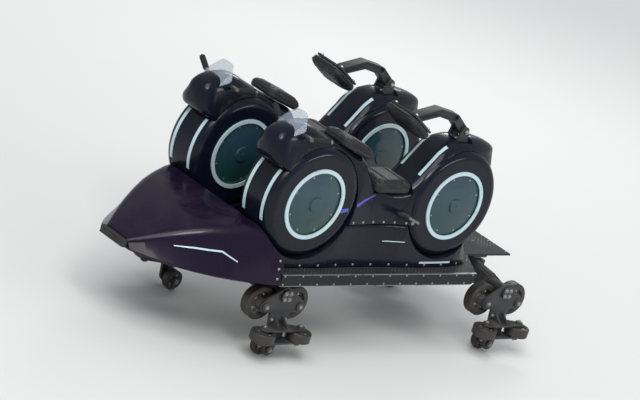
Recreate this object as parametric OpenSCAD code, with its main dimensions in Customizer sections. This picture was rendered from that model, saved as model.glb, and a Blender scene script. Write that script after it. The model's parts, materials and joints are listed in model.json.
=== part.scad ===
// Lead car of a motorbike roller coaster: two straddled bikes side by side on a steel chassis,
// carried on the two rails of the track by four wheel carriers.
// X points forward, Y to the car's left and Z up. The floor under the parked car is Z = 0.

/* [Track fit] */
// Distance between the centre lines of the two rails
gauge = 900; // [860:1:960]
// Outside diameter of a rail
rail_d = 114; // [100:1:120]
// Gap between a rail and each wheel that only guards it
guard_gap = 3; // [1:0.5:5]

/* [Wheel sets] */
// Diameter of a road wheel, which runs on top of the rail
road_d = 220; // [200:1:225]
// Tread width of a road wheel
road_w = 70; // [50:1:90]
// Distance from the fore to the aft road wheel of a carrier
road_pitch = 280; // [276:1:300]
// Diameter of a side wheel, which runs along the outside of the rail
side_d = 160; // [130:1:165]
// Tread width of a side wheel
side_w = 60; // [40:1:64]
// Distance from the fore to the aft side wheel of a carrier
side_pitch = 300; // [290:1:330]
// Diameter of the upstop wheel, which runs under the rail
upstop_d = 130; // [110:1:150]
// Tread width of an upstop wheel
upstop_w = 50; // [40:1:60]
// Clear width between the two side plates of a carrier
plate_gap = 125; // [120:1:130]
// Thickness of the outer plate of a carrier
outer_plate_t = 20; // [14:1:26]
// Thickness of the inner plate of a carrier
inner_plate_t = 15; // [10:1:20]
// Diameter of the stub on which a carrier rocks
stub_d = 60; // [46:1:66]
// Height of the rocking stub above the centres of the road wheels
stub_rise = 75; // [72:1:90]

/* [Chassis] */
// Distance between the front and the rear axle
axle_spacing = 1950; // [1900:5:2050]
// Reach of the nose ahead of the front axle
nose_reach = 1050; // [1000:5:1120]
// Reach of the coupling behind the rear axle
tail_reach = 300; // [290:1:340]
// Width of the centre beam
spine_w = 180; // [150:1:220]
// Depth of the chassis frame
frame_h = 100; // [80:1:120]
// Width of the deck
deck_w = 1200; // [1160:2:1240]
// Thickness of the deck plate
deck_t = 12; // [8:1:16]
// Depth of the skirts below the deck's top
skirt_h = 80; // [50:1:100]
// Height of the nose at the deck
nose_h = 330; // [300:1:360]
// Bore of the rear coupling
coupling_bore_d = 40; // [30:1:50]

/* [Bikes] */
// Distance between the middles of the two bikes
bike_spacing = 730; // [715:1:745]
// Distance from the front to the rear wheel drum of a bike
wheelbase = 1210; // [1180:5:1240]
// Clear height between the deck and the drums
drum_clear = 68; // [50:2:90]
// Diameter of a wheel drum
drum_d = 720; // [700:1:740]
// Width of a wheel drum
drum_w = 300; // [290:1:320]
// Rounding of a drum's shoulders
shoulder_r = 55; // [40:1:60]
// Outside diameter of the pale ring on a drum
ring_d = 465; // [440:1:490]
// Width of the pale ring
ring_w = 25; // [15:1:35]
// Width of a stripe on the front drum
stripe_w = 24; // [12:1:34]
// Distance between the two stripes of a drum
stripe_pitch = 170; // [150:1:180]
// Width of a bike's body shell
body_w = 330; // [320:2:350]
// Width of the lower fairing between a rider's knees
knee_w = 250; // [230:2:280]
// Height of the saddle's seat above the drums' axis
saddle_z = 60; // [50:1:80]
// Width of a saddle
saddle_w = 290; // [240:2:300]
// Thickness of a saddle
saddle_t = 80; // [60:1:90]
// Width of a chest pad
chest_w = 250; // [220:2:270]
// Thickness of a chest pad
chest_t = 70; // [50:1:80]
// Width of a back pad
pad_w = 300; // [260:2:320]
// Length of a back pad
pad_l = 250; // [220:2:280]
// Thickness of a back pad
pad_t = 60; // [50:1:75]
// Diameter of the handlebar tube
bar_d = 26; // [20:1:30]
// Diameter of the shaft on which a restraint swings
hinge_d = 30; // [20:1:36]

/* [Hidden] */
$fn = 64;
CORNERS = [["front_left", 1, 1], ["front_right", 1, -1], ["rear_left", -1, 1], ["rear_right", -1, -1]];
SIDES = [["left", 1], ["right", -1]];
// Columns of CORNERS and SIDES
NAME = 0;
END = 1;
HAND = 2;
SIDE = 1;

// Clearances
run_gap = 0.05; // radial gap of a wheel or arm on its pin
face_gap = 3; // end gap of a hub between its plates
seat_gap = 0.3; // gap where one shaped piece sits on another
shut_gap = 8; // shadow gap round a drum

// Heights of the running gear
upstop_z = upstop_d / 2;
rail_z = upstop_d + guard_gap + rail_d / 2;
road_z = rail_z + rail_d / 2 + road_d / 2;
stub_z = road_z + stub_rise;
frame_z0 = stub_z + 68;
frame_z1 = frame_z0 + frame_h;
deck_z1 = frame_z1 + deck_t;
drum_z = deck_z1 + drum_clear + drum_d / 2;

// Places along the car
overall_l = nose_reach + axle_spacing + tail_reach;
front_x = overall_l / 2 - nose_reach;
rear_x = front_x - axle_spacing;
tail_x = -overall_l / 2;

// Places across a carrier, from the middle of the car outwards
rail_y = gauge / 2;
inner_y1 = rail_y - plate_gap / 2;
inner_y0 = inner_y1 - inner_plate_t;
outer_y0 = rail_y + plate_gap / 2;
outer_y1 = outer_y0 + outer_plate_t;
side_y = rail_y + rail_d / 2 + guard_gap + side_d / 2;

// Pins, as radii
road_pin_r = 20;
side_pin_r = 16;
upstop_pin_r = 18;
stub_r = stub_d / 2;
boss_r = stub_r + 12;

// Drums, seen in a bike's own frame, whose origin is the middle of the front drum
drum_r = drum_d / 2;
floor_z = deck_z1 - drum_z;
waist_z = -140; // joint between the lower fairing and the body shell
cowl_x = -40; // joint between the body shell and the front cowl
saddle_x0 = drum_r + 20 - wheelbase;
saddle_x1 = -500;
chest_x = cowl_x - 70; // upper front end of the chest pad's platform
chest_z = drum_r + 6;
chest_tilt = 19;
chest_l = 330;
hinge_x = -wheelbase + 10;
hinge_z = drum_r + 102;
bracket_z = drum_r + 32; // platform of the restraint's bracket
foot_x = drum_r + 80 - wheelbase;
foot_z = -70;
foot_y = body_w / 2 + 55; // middle of a foot rest's pad
bar_x = drum_r - 160;
bar_z = drum_r + 60;

// A belt drawn round circles [x, y, r] that are listed anticlockwise
function turn_of(a, b) = let(d = b - a) atan2(d[1], d[0]) - acos((a[2] - b[2]) / norm([d[0], d[1]]));
function belt(c, steps = 6) = let(n = len(c)) [for (i = [0:n - 1])
    let(a0 = turn_of(c[(i + n - 1) % n], c[i]), a1 = turn_of(c[i], c[(i + 1) % n]),
        sweep = a1 - a0 - 360 * floor((a1 - a0) / 360))
    for (k = [0:steps]) let(a = a0 + sweep * k / steps)
    [c[i][0] + c[i][2] * cos(a), c[i][1] + c[i][2] * sin(a)]];

// One cross section of a lofted shell, with the columns of a section table
X = 0;
BOTTOM_W = 1;
TOP_W = 2;
BOTTOM = 3;
TOP = 4;
BOTTOM_R = 5;
TOP_R = 6;
ARC_STEPS = 5;
STATION_STEPS = 2; // stations drawn for each one in a table
function quarter(y, z, r, a) = [for (i = [0:ARC_STEPS]) let(b = a + 90 * i / ARC_STEPS)
    [y + r * cos(b), z + r * sin(b)]];
function outline(s) = concat(
    quarter(s[TOP_W] / 2 - s[TOP_R], s[TOP] - s[TOP_R], s[TOP_R], 0),
    quarter(-s[TOP_W] / 2 + s[TOP_R], s[TOP] - s[TOP_R], s[TOP_R], 90),
    quarter(-s[BOTTOM_W] / 2 + s[BOTTOM_R], s[BOTTOM] + s[BOTTOM_R], s[BOTTOM_R], 180),
    quarter(s[BOTTOM_W] / 2 - s[BOTTOM_R], s[BOTTOM] + s[BOTTOM_R], s[BOTTOM_R], 270));

// A value between p1 and p2 on the smooth curve through four neighbours
function spline(p0, p1, p2, p3, t) = p1 + t * (p2 - p0) / 2 + t * t * (p0 - 2.5 * p1 + 2 * p2 - p3 / 2)
    + t * t * t * (1.5 * (p1 - p2) + (p3 - p0) / 2);

// The same sections with smooth ones between them
function smoothed(s) = let(last = len(s) - 1) concat(
    [for (i = [0:last - 1]) for (k = [0:STATION_STEPS - 1])
        spline(s[max(i - 1, 0)], s[i], s[i + 1], s[min(i + 2, last)], k / STATION_STEPS)], [s[last]]);

// Skin over sections that are listed from front to rear
module loft(table) {
    sections = smoothed(table);
    n = 4 * (ARC_STEPS + 1);
    last = len(sections) - 1;
    points = [for (s = sections) for (p = outline(s)) [s[X], p[0], p[1]]];
    walls = [for (k = [0:last - 1]) for (i = [0:n - 1])
        let(a = k * n + i, b = k * n + (i + 1) % n)
        each [[a, b, b + n], [a, b + n, a + n]]];
    ends = [[for (i = [n - 1:-1:0]) i], [for (i = [0:n - 1]) last * n + i]];
    polyhedron(points, concat(ends, walls));
}

// Turns a profile of [radius, place along Y] about the Y axis
module turned_y() rotate([-90, 0, 0]) rotate_extrude() children();

// Turns a profile of [radius, place along Z] about the Z axis
module turned_z() rotate_extrude() children();

// A pin along Y between two places
module pin_y(r, y0, y1) translate([0, y0, 0]) rotate([-90, 0, 0]) cylinder(r = r, h = y1 - y0);

// A plate whose outline lies in XZ, between two places along Y
module plate_y(points, y0, y1) translate([0, y1, 0]) rotate([90, 0, 0])
    linear_extrude(y1 - y0) polygon(points);

// A plate whose outline lies in YZ, between two places along X
module plate_x(points, x0, x1) translate([x0, 0, 0]) rotate([90, 0, 90])
    linear_extrude(x1 - x0) polygon(points);

// A box between two corners
module block(lo, hi) translate(lo) cube(hi - lo);

// A rectangle with true round corners
module round_rect(w, h, r) {
    square([w - 2 * r, h], center = true);
    square([w, h - 2 * r], center = true);
    for (x = [-1, 1], y = [-1, 1]) translate([x * (w / 2 - r), y * (h / 2 - r)]) circle(r);
}

module on_corner(c) translate([c[END] > 0 ? front_x : rear_x, 0, 0])
    mirror([0, c[HAND] > 0 ? 0 : 1, 0]) children();
module on_bike(s) translate([front_x, s[SIDE] * bike_spacing / 2, drum_z]) children();

// Running gear

module wheel_profile(bore_r, hub_r, hub_l, rim_r, outer_r, width, web, round_r) polygon([
    [bore_r, -hub_l / 2], [hub_r, -hub_l / 2], [hub_r, -web / 2], [rim_r, -web / 2], [rim_r, -width / 2],
    [outer_r - round_r, -width / 2], [outer_r, -width / 2 + round_r], [outer_r, width / 2 - round_r],
    [outer_r - round_r, width / 2], [rim_r, width / 2], [rim_r, web / 2], [hub_r, web / 2],
    [hub_r, hub_l / 2], [bore_r, hub_l / 2]]);

module road_wheel(c, k) color([0.16, 0.16, 0.17]) on_corner(c) translate([k * road_pitch / 2, rail_y, road_z])
    difference() {
        turned_y() wheel_profile(road_pin_r + run_gap, 36, plate_gap - 2 * face_gap, road_d / 2 - 32,
            road_d / 2, road_w, 22, 6);
        for (a = [0:72:359]) rotate([0, a, 0]) translate([57, 0, 0]) pin_y(11, -road_w, road_w);
    }

module side_wheel(c, k) color([0.16, 0.16, 0.17]) on_corner(c) translate([k * side_pitch / 2, side_y, rail_z])
    turned_z() wheel_profile(side_pin_r + run_gap, 28, side_w, side_d / 2 - 24, side_d / 2, side_w, 20, 5);

module upstop_wheel(c) color([0.16, 0.16, 0.17]) on_corner(c) translate([0, rail_y, upstop_z])
    turned_y() wheel_profile(upstop_pin_r + run_gap, 28, upstop_w + 8, upstop_d / 2 - 20, upstop_d / 2,
        upstop_w, 18, 5);

// Thickness of the shelves that hold the side wheels, and of a bolt's head
shelf_t = 12;
shelf_gap = 6;
head_t = 12;
leg_x = 60;
rib_x = 34;
rib_t = 12;
rib_h = 58;

module carrier_rocker_outline() polygon(belt([[-road_pitch / 2, road_z, 42], [road_pitch / 2, road_z, 42],
    [0, stub_z, boss_r + 14]]));

module carrier(c) color([0.1, 0.1, 0.11]) on_corner(c) difference() {
    union() {
        // Rocker plates either side of the road wheels
        for (y = [[inner_y0, inner_y1], [outer_y0, outer_y1]])
            translate([0, y[1], 0]) rotate([90, 0, 0]) linear_extrude(y[1] - y[0]) carrier_rocker_outline();
        // Boss round the stub
        translate([0, 0, stub_z]) pin_y(boss_r, inner_y0, outer_y1);
        // Leg that reaches down outside the rail
        plate_y(belt([[-leg_x, road_z - 20, 24], [0, upstop_z, 42], [leg_x, road_z - 20, 24]]),
            outer_y0, outer_y1);
        // Shelves above and below the side wheels, and the web between them
        for (z = [rail_z + side_w / 2 + shelf_gap, rail_z - side_w / 2 - shelf_gap - shelf_t])
            translate([0, 0, z]) linear_extrude(shelf_t)
                polygon(belt([[-leg_x + 10, outer_y1 - 8, 8], [leg_x - 10, outer_y1 - 8, 8],
                    [side_pitch / 2, side_y, 32], [-side_pitch / 2, side_y, 32]]));
        block([-leg_x + 8, outer_y1, rail_z - side_w / 2 - shelf_gap], [leg_x - 8, outer_y1 + 22,
            rail_z + side_w / 2 + shelf_gap]);
        // Ribs between the leg and the upper shelf
        for (x = [-rib_x, rib_x]) plate_x([[outer_y1 - 1, rail_z + side_w / 2 + shelf_gap + shelf_t - 1],
            [side_y + 16, rail_z + side_w / 2 + shelf_gap + shelf_t - 1],
            [outer_y1 - 1, rail_z + side_w / 2 + shelf_gap + shelf_t + rib_h]], x - rib_t / 2, x + rib_t / 2);
        // Road wheel pins with their heads
        for (x = [-1, 1]) translate([x * road_pitch / 2, 0, road_z]) {
            pin_y(road_pin_r, inner_y0 - head_t, outer_y1 + head_t);
            pin_y(road_pin_r + 10, outer_y1, outer_y1 + head_t);
            pin_y(road_pin_r + 10, inner_y0 - head_t, inner_y0);
        }
        // Side wheel pins with their heads
        for (x = [-1, 1]) translate([x * side_pitch / 2, side_y, rail_z]) {
            translate([0, 0, -side_w / 2 - shelf_gap - shelf_t - head_t])
                cylinder(r = side_pin_r, h = side_w + 2 * (shelf_gap + shelf_t + head_t));
            translate([0, 0, side_w / 2 + shelf_gap + shelf_t]) cylinder(r = side_pin_r + 8, h = head_t);
            translate([0, 0, -side_w / 2 - shelf_gap - shelf_t - head_t])
                cylinder(r = side_pin_r + 8, h = head_t);
        }
        // Upstop pin, with a spacer on the plate's side and a cap on the free end
        translate([0, 0, upstop_z]) {
            pin_y(upstop_pin_r, rail_y - upstop_w / 2 - 20, outer_y1 + head_t);
            pin_y(upstop_pin_r + 10, rail_y + upstop_w / 2 + 4 + face_gap, outer_y0);
            pin_y(upstop_pin_r + 10, rail_y - upstop_w / 2 - 20, rail_y - upstop_w / 2 - 4 - face_gap);
            pin_y(upstop_pin_r + 8, outer_y1, outer_y1 + head_t);
        }
    }
    translate([0, 0, stub_z]) pin_y(stub_r + run_gap, inner_y0 - 1, outer_y1 + 1);
}

// Half width and end depth of an axle's middle block
block_x = 90;
block_y = 110;
axle_tube_r = 55;
stub_shoulder_y = inner_y0 - face_gap;

module axle(x) color([0.09, 0.09, 0.1]) translate([x, 0, 0]) {
    // Tapered beam from carrier to carrier
    plate_x([[-stub_shoulder_y + 10, stub_z - 48], [-block_y, stub_z - 66], [block_y, stub_z - 66],
        [stub_shoulder_y - 10, stub_z - 48], [stub_shoulder_y - 10, stub_z + 48], [block_y, frame_z0],
        [-block_y, frame_z0], [-stub_shoulder_y + 10, stub_z + 48]], -45, 45);
    block([-block_x, -block_y, stub_z - 60], [block_x, block_y, frame_z0]);
    translate([0, 0, stub_z]) {
        // Shoulders, stubs and their end caps
        pin_y(axle_tube_r, -stub_shoulder_y, stub_shoulder_y);
        pin_y(stub_r, -outer_y1 - face_gap - head_t, outer_y1 + face_gap + head_t);
        for (s = [-1, 1]) pin_y(boss_r, min(s * (outer_y1 + face_gap), s * (outer_y1 + face_gap + head_t)),
            max(s * (outer_y1 + face_gap), s * (outer_y1 + face_gap + head_t)));
    }
}

// Chassis

rail_w = 80; // width of the frame members under the bikes
member_w = 70; // width and depth of the cross members
member_h = 70;
member_y = bike_spacing / 2 + rail_w / 2;
tip_h = 32; // depth of a cross member at the edge of the deck
bulkhead_x = front_x + 165;
rear_deck_x = rear_x - 150;
frame_rear_x = front_x - wheelbase - 290;

module chassis_frame() color([0.09, 0.09, 0.1]) {
    block([rear_deck_x, -spine_w / 2, frame_z0], [bulkhead_x, spine_w / 2, frame_z1]);
    for (s = [-1, 1]) translate([0, s * bike_spacing / 2, 0])
        block([frame_rear_x, -rail_w / 2, frame_z0], [bulkhead_x, rail_w / 2, frame_z1]);
    // Cross members, whose ends taper towards the edges of the deck
    for (x = [bulkhead_x - member_w, front_x - wheelbase / 2, frame_rear_x])
        plate_x([[-deck_w / 2, frame_z1], [-deck_w / 2, frame_z1 - tip_h],
            [-member_y, frame_z1 - member_h], [member_y, frame_z1 - member_h],
            [deck_w / 2, frame_z1 - tip_h], [deck_w / 2, frame_z1]], x, x + member_w);
    // Braces from the rear corners of the frame to the centre beam
    for (s = [0, 1]) mirror([0, s, 0]) translate([0, 0, frame_z1 - 60]) linear_extrude(60)
        polygon([[frame_rear_x, bike_spacing / 2 - 30], [frame_rear_x, bike_spacing / 2 + 30],
            [rear_x + 40, spine_w / 2 + 30], [rear_x - 60, spine_w / 2 + 30], [rear_x - 60, spine_w / 2 - 10],
            [rear_x + 60, spine_w / 2 - 10]]);
}

module deck_plate() color([0.2, 0.2, 0.21]) translate([0, 0, frame_z1]) linear_extrude(deck_t)
    polygon([[bulkhead_x, -deck_w / 2], [bulkhead_x, deck_w / 2], [frame_rear_x - 20, deck_w / 2],
        [frame_rear_x - 190, 330], [rear_deck_x, 330], [rear_deck_x, -330], [frame_rear_x - 190, -330],
        [frame_rear_x - 20, -deck_w / 2]]);

skirt_t = 12;

module side_skirts() color([0.03, 0.03, 0.04]) for (s = [-1, 1])
    plate_y(belt([[frame_rear_x + 20, deck_z1 - skirt_h + 40, 40], [bulkhead_x - 1, deck_z1 - skirt_h + 1, 1],
        [bulkhead_x - 1, deck_z1 - 1, 1], [frame_rear_x - 19, deck_z1 - 1, 1]]),
        min(s * deck_w / 2, s * (deck_w / 2 + skirt_t)), max(s * deck_w / 2, s * (deck_w / 2 + skirt_t)));

module brake_fin() color([0.6, 0.62, 0.64])
    plate_y([[front_x - 180, frame_z0], [front_x - 260, frame_z0 - 170],
        [rear_x + 260, frame_z0 - 170], [rear_x + 180, frame_z0]], -8, 8);

ear_r = 45;
ear_t = 25;

module rear_coupling() color([0.12, 0.12, 0.13]) difference() {
    union() {
        block([rear_x - 190, -35, stub_z - 40], [rear_x - block_x, 35, stub_z + 40]);
        for (z = [stub_z - 40, stub_z + 40 - ear_t]) translate([0, 0, z]) linear_extrude(ear_t)
            polygon(belt([[tail_x + ear_r, 0, ear_r], [rear_x - 150, -33, 2], [rear_x - 150, 33, 2]]));
    }
    translate([tail_x + ear_r, 0, 0]) cylinder(r = coupling_bore_d / 2, h = 2 * stub_z);
}

bumper_l = 40;
bumper_y = 100;
nose_tip_x = overall_l / 2 - bumper_l;

// A section of the nose at a share of its length behind the tip, with the rest as shares of
// the deck's width and of the nose's height
function nose_row(back, bottom_w, top_w, lift, top, bottom_r, top_r) =
    let(w = deck_w + 2 * skirt_t, h = nose_h, z = deck_z1 - skirt_h)
    [nose_tip_x - back * (nose_tip_x - bulkhead_x), w * bottom_w, w * top_w, z + h * lift, z + h * top,
     h * bottom_r, h * top_r];
function nose_sections() = [ // place, widths, bottom, top and corner radii
    nose_row(0.00, 0.24, 0.18, 0.06, 0.24, 0.03, 0.07),
    nose_row(0.09, 0.38, 0.28, 0.04, 0.38, 0.04, 0.12),
    nose_row(0.26, 0.58, 0.44, 0.01, 0.62, 0.05, 0.18),
    nose_row(0.50, 0.79, 0.63, 0.00, 0.87, 0.06, 0.24),
    nose_row(0.76, 0.93, 0.80, 0.00, 0.98, 0.06, 0.27),
    nose_row(1.00, 1.00, 0.93, 0.00, 1.00, 0.06, 0.27)];

module nose_cowl() color([0.05, 0.03, 0.07]) difference() {
    loft(nose_sections());
    translate([front_x, 0, drum_z]) pin_y(drum_r + shut_gap, -deck_w, deck_w);
}

module nose_bumper() color([0.05, 0.05, 0.05]) translate([nose_tip_x, 0, deck_z1 - skirt_h + 28])
    linear_extrude(44) polygon(belt([[1, -bumper_y - 14, 1], [bumper_l / 2, -bumper_y, bumper_l / 2],
        [bumper_l / 2, bumper_y, bumper_l / 2], [1, bumper_y + 14, 1]]));

// Bikes, each in its own frame

function body_sections() = let(w = body_w, f = drum_r, r = -wheelbase, s = saddle_z) [
    // x, widths, bottom, top and corner radii
    [cowl_x, w - 10, w - 100, 60, f + 42, 10, 80],
    [cowl_x - 70, w, w - 90, 40, f + 34, 10, 90],
    [cowl_x - 160, w + 4, w - 90, waist_z, f - 2, 10, 95],
    [cowl_x - 260, w, w - 100, waist_z, f - 48, 10, 95],
    [saddle_x1 + 100, w - 20, w - 100, waist_z, f - 96, 10, 95],
    [saddle_x1, w - 40, w - 100, waist_z, s + 80, 10, 80],
    [saddle_x1 - 100, w - 50, w - 90, waist_z, s + 24, 10, 60],
    [saddle_x0 + 70, w - 40, w - 80, waist_z, s + 16, 10, 60],
    [saddle_x0 - 40, w - 10, w - 50, waist_z, s + 108, 10, 80],
    [r + 220, w + 6, w - 40, waist_z, f - 28, 10, 90],
    [r + 130, w + 14, w - 50, 20, f + 36, 10, 100],
    [r, w + 10, w - 80, 60, f + 62, 10, 100],
    [r - 130, w - 20, w - 120, 60, f + 56, 10, 90],
    [r - 240, w - 100, w - 180, 130, f + 28, 10, 60],
    [r - 300, w - 180, w - 240, 210, f + 2, 10, 40]];

// The fairing is a little wider than the drums, and narrow between a rider's knees
function fairing_sections() = let(w = drum_w + 24, n = knee_w, r = -wheelbase,
    x = bulkhead_x - front_x - 10) [ // x, widths, bottom, top and corner radii
    [x, w - 40, w - 50, floor_z, waist_z, 10, 10],
    [x - 95, w - 8, w - 14, floor_z, waist_z, 10, 10],
    [-150, w, w - 20, floor_z, waist_z, 10, 20],
    [-330, w - 10, n + 40, floor_z, waist_z, 10, 30],
    [-470, n + 50, n, floor_z, waist_z, 10, 30],
    [r + 470, n + 50, n, floor_z, waist_z, 10, 30],
    [r + 330, w - 10, n + 40, floor_z, waist_z, 10, 30],
    [r + 150, w, w - 20, floor_z, waist_z, 10, 20],
    [r - 60, w - 8, w - 14, floor_z, waist_z, 10, 10],
    [r - 180, w - 30, w - 60, floor_z, waist_z - 20, 10, 20],
    [r - 260, w - 70, w - 120, floor_z, waist_z - 90, 10, 40],
    [r - 320, w - 110, w - 180, floor_z, waist_z - 190, 10, 30]];

function cowl_sections() = let(w = body_w, f = drum_r) [ // x, widths, bottom, top and corner radii
    [f + 44, w - 220, w - 240, f - 72, f + 4, 24, 28],
    [f + 26, w - 130, w - 180, f - 112, f + 44, 50, 50],
    [f - 4, w - 70, w - 150, f - 132, f + 78, 40, 70],
    [f - 60, w - 30, w - 130, f - 148, f + 102, 20, 80],
    [bar_x, w - 10, w - 120, f - 220, f + 118, 10, 85],
    [bar_x - 80, w - 10, w - 110, 60, f + 108, 10, 90],
    [bar_x - 150, w - 10, w - 104, 60, f + 78, 10, 85],
    [cowl_x, w - 10, w - 100, 60, f + 42, 10, 80]];

// All that lies above or below a level joint between two covers
module above(z) block([-2 * wheelbase, -drum_w, z], [drum_d, drum_w, z + drum_d]);
module below(z) block([-2 * wheelbase, -drum_w, z - drum_d], [drum_d, drum_w, z]);

module drum_cutter(gap) for (x = [0, -wheelbase]) translate([x, 0, 0]) pin_y(drum_r + gap, -drum_w, drum_w);

module drum(x, striped) color([0.03, 0.03, 0.04]) translate([x, 0, 0]) difference() {
    turned_y() intersection() {
        round_rect(drum_d, drum_w, shoulder_r);
        translate([0, -drum_w]) square([drum_d, 2 * drum_w]);
    }
    for (s = [-1, 1]) pin_y(ring_d / 2 - ring_w + seat_gap, s > 0 ? drum_w / 2 - disc_t : -drum_w,
        s > 0 ? drum_w : -drum_w / 2 + disc_t);
    if (striped) for (s = [-1, 1]) turned_y()
        translate([drum_r - 2, s * stripe_pitch / 2 - stripe_w / 2 - seat_gap])
            square([8, stripe_w + 2 * seat_gap]);
}

disc_t = 14;
ring_t = 8;
stripe_top = 33; // angle above level at which a stripe ends
stripe_sweep = 55;

module disc_on(x, s) translate([x, s * (drum_w / 2 - disc_t), 0]) mirror([0, s > 0 ? 0 : 1, 0]) turned_y()
    polygon([[0, 0], [ring_d / 2 - ring_w, 0], [ring_d / 2 - ring_w, 8], [120, 18], [50, 22], [46, 32],
        [0, 34]]);

module ring_on(x, s) translate([x, s > 0 ? drum_w / 2 : -drum_w / 2 - ring_t, 0]) turned_y()
    translate([ring_d / 2 - ring_w, 0]) square([ring_w, ring_t]);

module stripe_on(y) translate([0, y - stripe_w / 2, 0]) rotate([-90, 0, 0]) rotate([0, 0, -stripe_top])
    rotate_extrude(angle = stripe_sweep) translate([drum_r - 2 + seat_gap, 0]) square([4, stripe_w]);

module body_shell() color([0.03, 0.03, 0.04]) difference() {
    loft(body_sections());
    below(waist_z);
    drum_cutter(seat_gap);
    // Seat platform
    block([saddle_x0, -body_w, saddle_z], [saddle_x1, body_w, saddle_z + 300]);
    // Sloping platform of the chest pad
    translate([chest_x, 0, chest_z]) rotate([0, -chest_tilt, 0])
        block([-chest_l - 5, -body_w, 0], [200, body_w, 200]);
    // Flat on which the restraint's bracket stands
    block([hinge_x - 60, -90, bracket_z], [hinge_x + 60, 90, bracket_z + 100]);
    translate([foot_x, 0, foot_z]) pin_y(foot_bar_r + seat_gap, -body_w, body_w);
}

foot_bar_r = 15;

module lower_fairing() color([0.03, 0.03, 0.04]) difference() {
    loft(fairing_sections());
    above(waist_z);
    drum_cutter(shut_gap);
}

module front_cowl() color([0.03, 0.03, 0.04]) difference() {
    loft(cowl_sections());
    drum_cutter(seat_gap);
    translate([bar_x, 0, bar_z]) pin_y(bar_d / 2 + seat_gap, -body_w, body_w);
    screen(seat_gap);
}

screen_t = 5;
screen_r = 190;

module screen(gap) translate([drum_r - 22, 0, drum_r + 40]) rotate([0, -44, 0]) intersection() {
    translate([-screen_r, 0, 0]) difference() {
        cylinder(r = screen_r + screen_t + gap, h = 240);
        translate([0, 0, -1]) cylinder(r = screen_r - gap, h = 242);
    }
    plate_x(belt([[-60, 20 - gap, 20], [60, 20 - gap, 20], [72, 110, 40], [34, 176, 30], [-34, 176, 30],
        [-72, 110, 40]]), -150, 60);
}

grip_l = 112;
bar_reach = 150;

module bar_run() {
    // Middle of the bar, through the cowl
    pin_y(bar_d / 2, -bar_reach, bar_reach);
    for (s = [-1, 1]) translate([0, s * bar_reach, 0]) {
        sphere(bar_d / 2 + 1);
        bar_end(s, bar_d / 2, 0, grip_l + 28);
    }
}

// Part of the swept-back end of the bar, between two distances from the bend
module bar_end(s, r, from, to) rotate([-s * 70, 0, 0]) rotate([0, -18, 0])
    translate([0, 0, from]) cylinder(r = r, h = to - from);

module handlebar() color([0.3, 0.31, 0.33]) translate([bar_x, 0, bar_z]) bar_run();

module grip(s) translate([bar_x, s * bar_reach, bar_z]) difference() {
    bar_end(s, 18, 24, 24 + grip_l);
    bar_end(s, bar_d / 2 + seat_gap, 23, 25 + grip_l);
}

module slab(l, w, t, r) translate([0, 0, t / 2]) hull() for (x = [-1, 1], y = [-1, 1])
    translate([x * (l / 2 - r), y * (w / 2 - r), 0]) {
        cylinder(r = r, h = t - 30, center = true, $fn = 24);
        cylinder(r = r - 14, h = t, center = true, $fn = 24);
    }

module saddle() color([0.06, 0.06, 0.065])
    translate([(saddle_x0 + saddle_x1) / 2, 0, saddle_z + seat_gap])
    slab(saddle_x1 - saddle_x0 - 12, saddle_w, saddle_t, 60);

module chest_pad() color([0.06, 0.06, 0.065]) translate([chest_x, 0, chest_z]) rotate([0, -chest_tilt, 0])
    translate([-chest_l / 2, 0, seat_gap]) slab(chest_l - 20, chest_w, chest_t, 55);

module foot_rest() color([0.28, 0.29, 0.3]) translate([foot_x, 0, foot_z]) {
    pin_y(foot_bar_r, -foot_y - 45, foot_y + 45);
    for (s = [-1, 1]) translate([0, s * foot_y, 0]) rotate([0, -20, 0])
        block([-60, -42, foot_bar_r - 6], [50, 42, foot_bar_r + 8]);
}

ear_gap = 76;
bracket_t = 16;

module restraint_bracket() color([0.12, 0.12, 0.13]) translate([hinge_x, 0, 0]) {
    block([-50, -ear_gap / 2 - bracket_t, bracket_z], [50, ear_gap / 2 + bracket_t, bracket_z + 10]);
    for (s = [-1, 1]) translate([0, s * (ear_gap + bracket_t) / 2, 0])
        plate_y(belt([[-40, bracket_z + 8, 4], [40, bracket_z + 8, 4], [0, hinge_z, 30]]),
            -bracket_t / 2, bracket_t / 2);
    translate([0, 0, hinge_z]) pin_y(hinge_d / 2, -ear_gap / 2 - bracket_t - 8, ear_gap / 2 + bracket_t + 8);
}

// Back pad of the restraint: its middle, and its slope along a rider's back
pad_x = hinge_x + 490;
pad_z = hinge_z + 40;
pad_slope = 33;

// Half width of the restraint's arm, the thickness of its web and of its flanges
arm_y = ear_gap / 2 - face_gap;
arm_web = 30;
arm_flange = 9;

// Middle line of the restraint's arm [x, z, half depth], from the hinge to the back of the pad
arm_path = [[hinge_x, hinge_z, hinge_d / 2 + 14], [hinge_x + 100, hinge_z + 80, 27],
    [hinge_x + 255, hinge_z + 114, 26], [hinge_x + 428, hinge_z + 70, 24]];

// The same circle with the thickness of an arm's flange taken off
function inside(c) = [c[X], c[1], c[2] - arm_flange];

module restraint_arm() color([0.1, 0.1, 0.11]) difference() {
    union() {
        difference() {
            for (i = [0:len(arm_path) - 2]) plate_y(belt([arm_path[i + 1], arm_path[i]]), -arm_y, arm_y);
            // Pockets on both sides, which leave flanges and a middle web
            for (i = [1:len(arm_path) - 2]) {
                plate_y(belt([inside(arm_path[i + 1]), inside(arm_path[i])]), arm_web / 2, arm_y + 1);
                plate_y(belt([inside(arm_path[i + 1]), inside(arm_path[i])]), -arm_y - 1, -arm_web / 2);
            }
        }
        // Head plate behind the pad
        translate([pad_x, 0, pad_z]) rotate([0, -pad_slope, 0])
            block([-pad_l / 2 + 20, -pad_w / 2 + 30, pad_t / 2],
                [pad_l / 2 - 30, pad_w / 2 - 30, pad_t / 2 + 14]);
    }
    translate([hinge_x, 0, hinge_z]) pin_y(hinge_d / 2 + run_gap, -100, 100);
}

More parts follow.
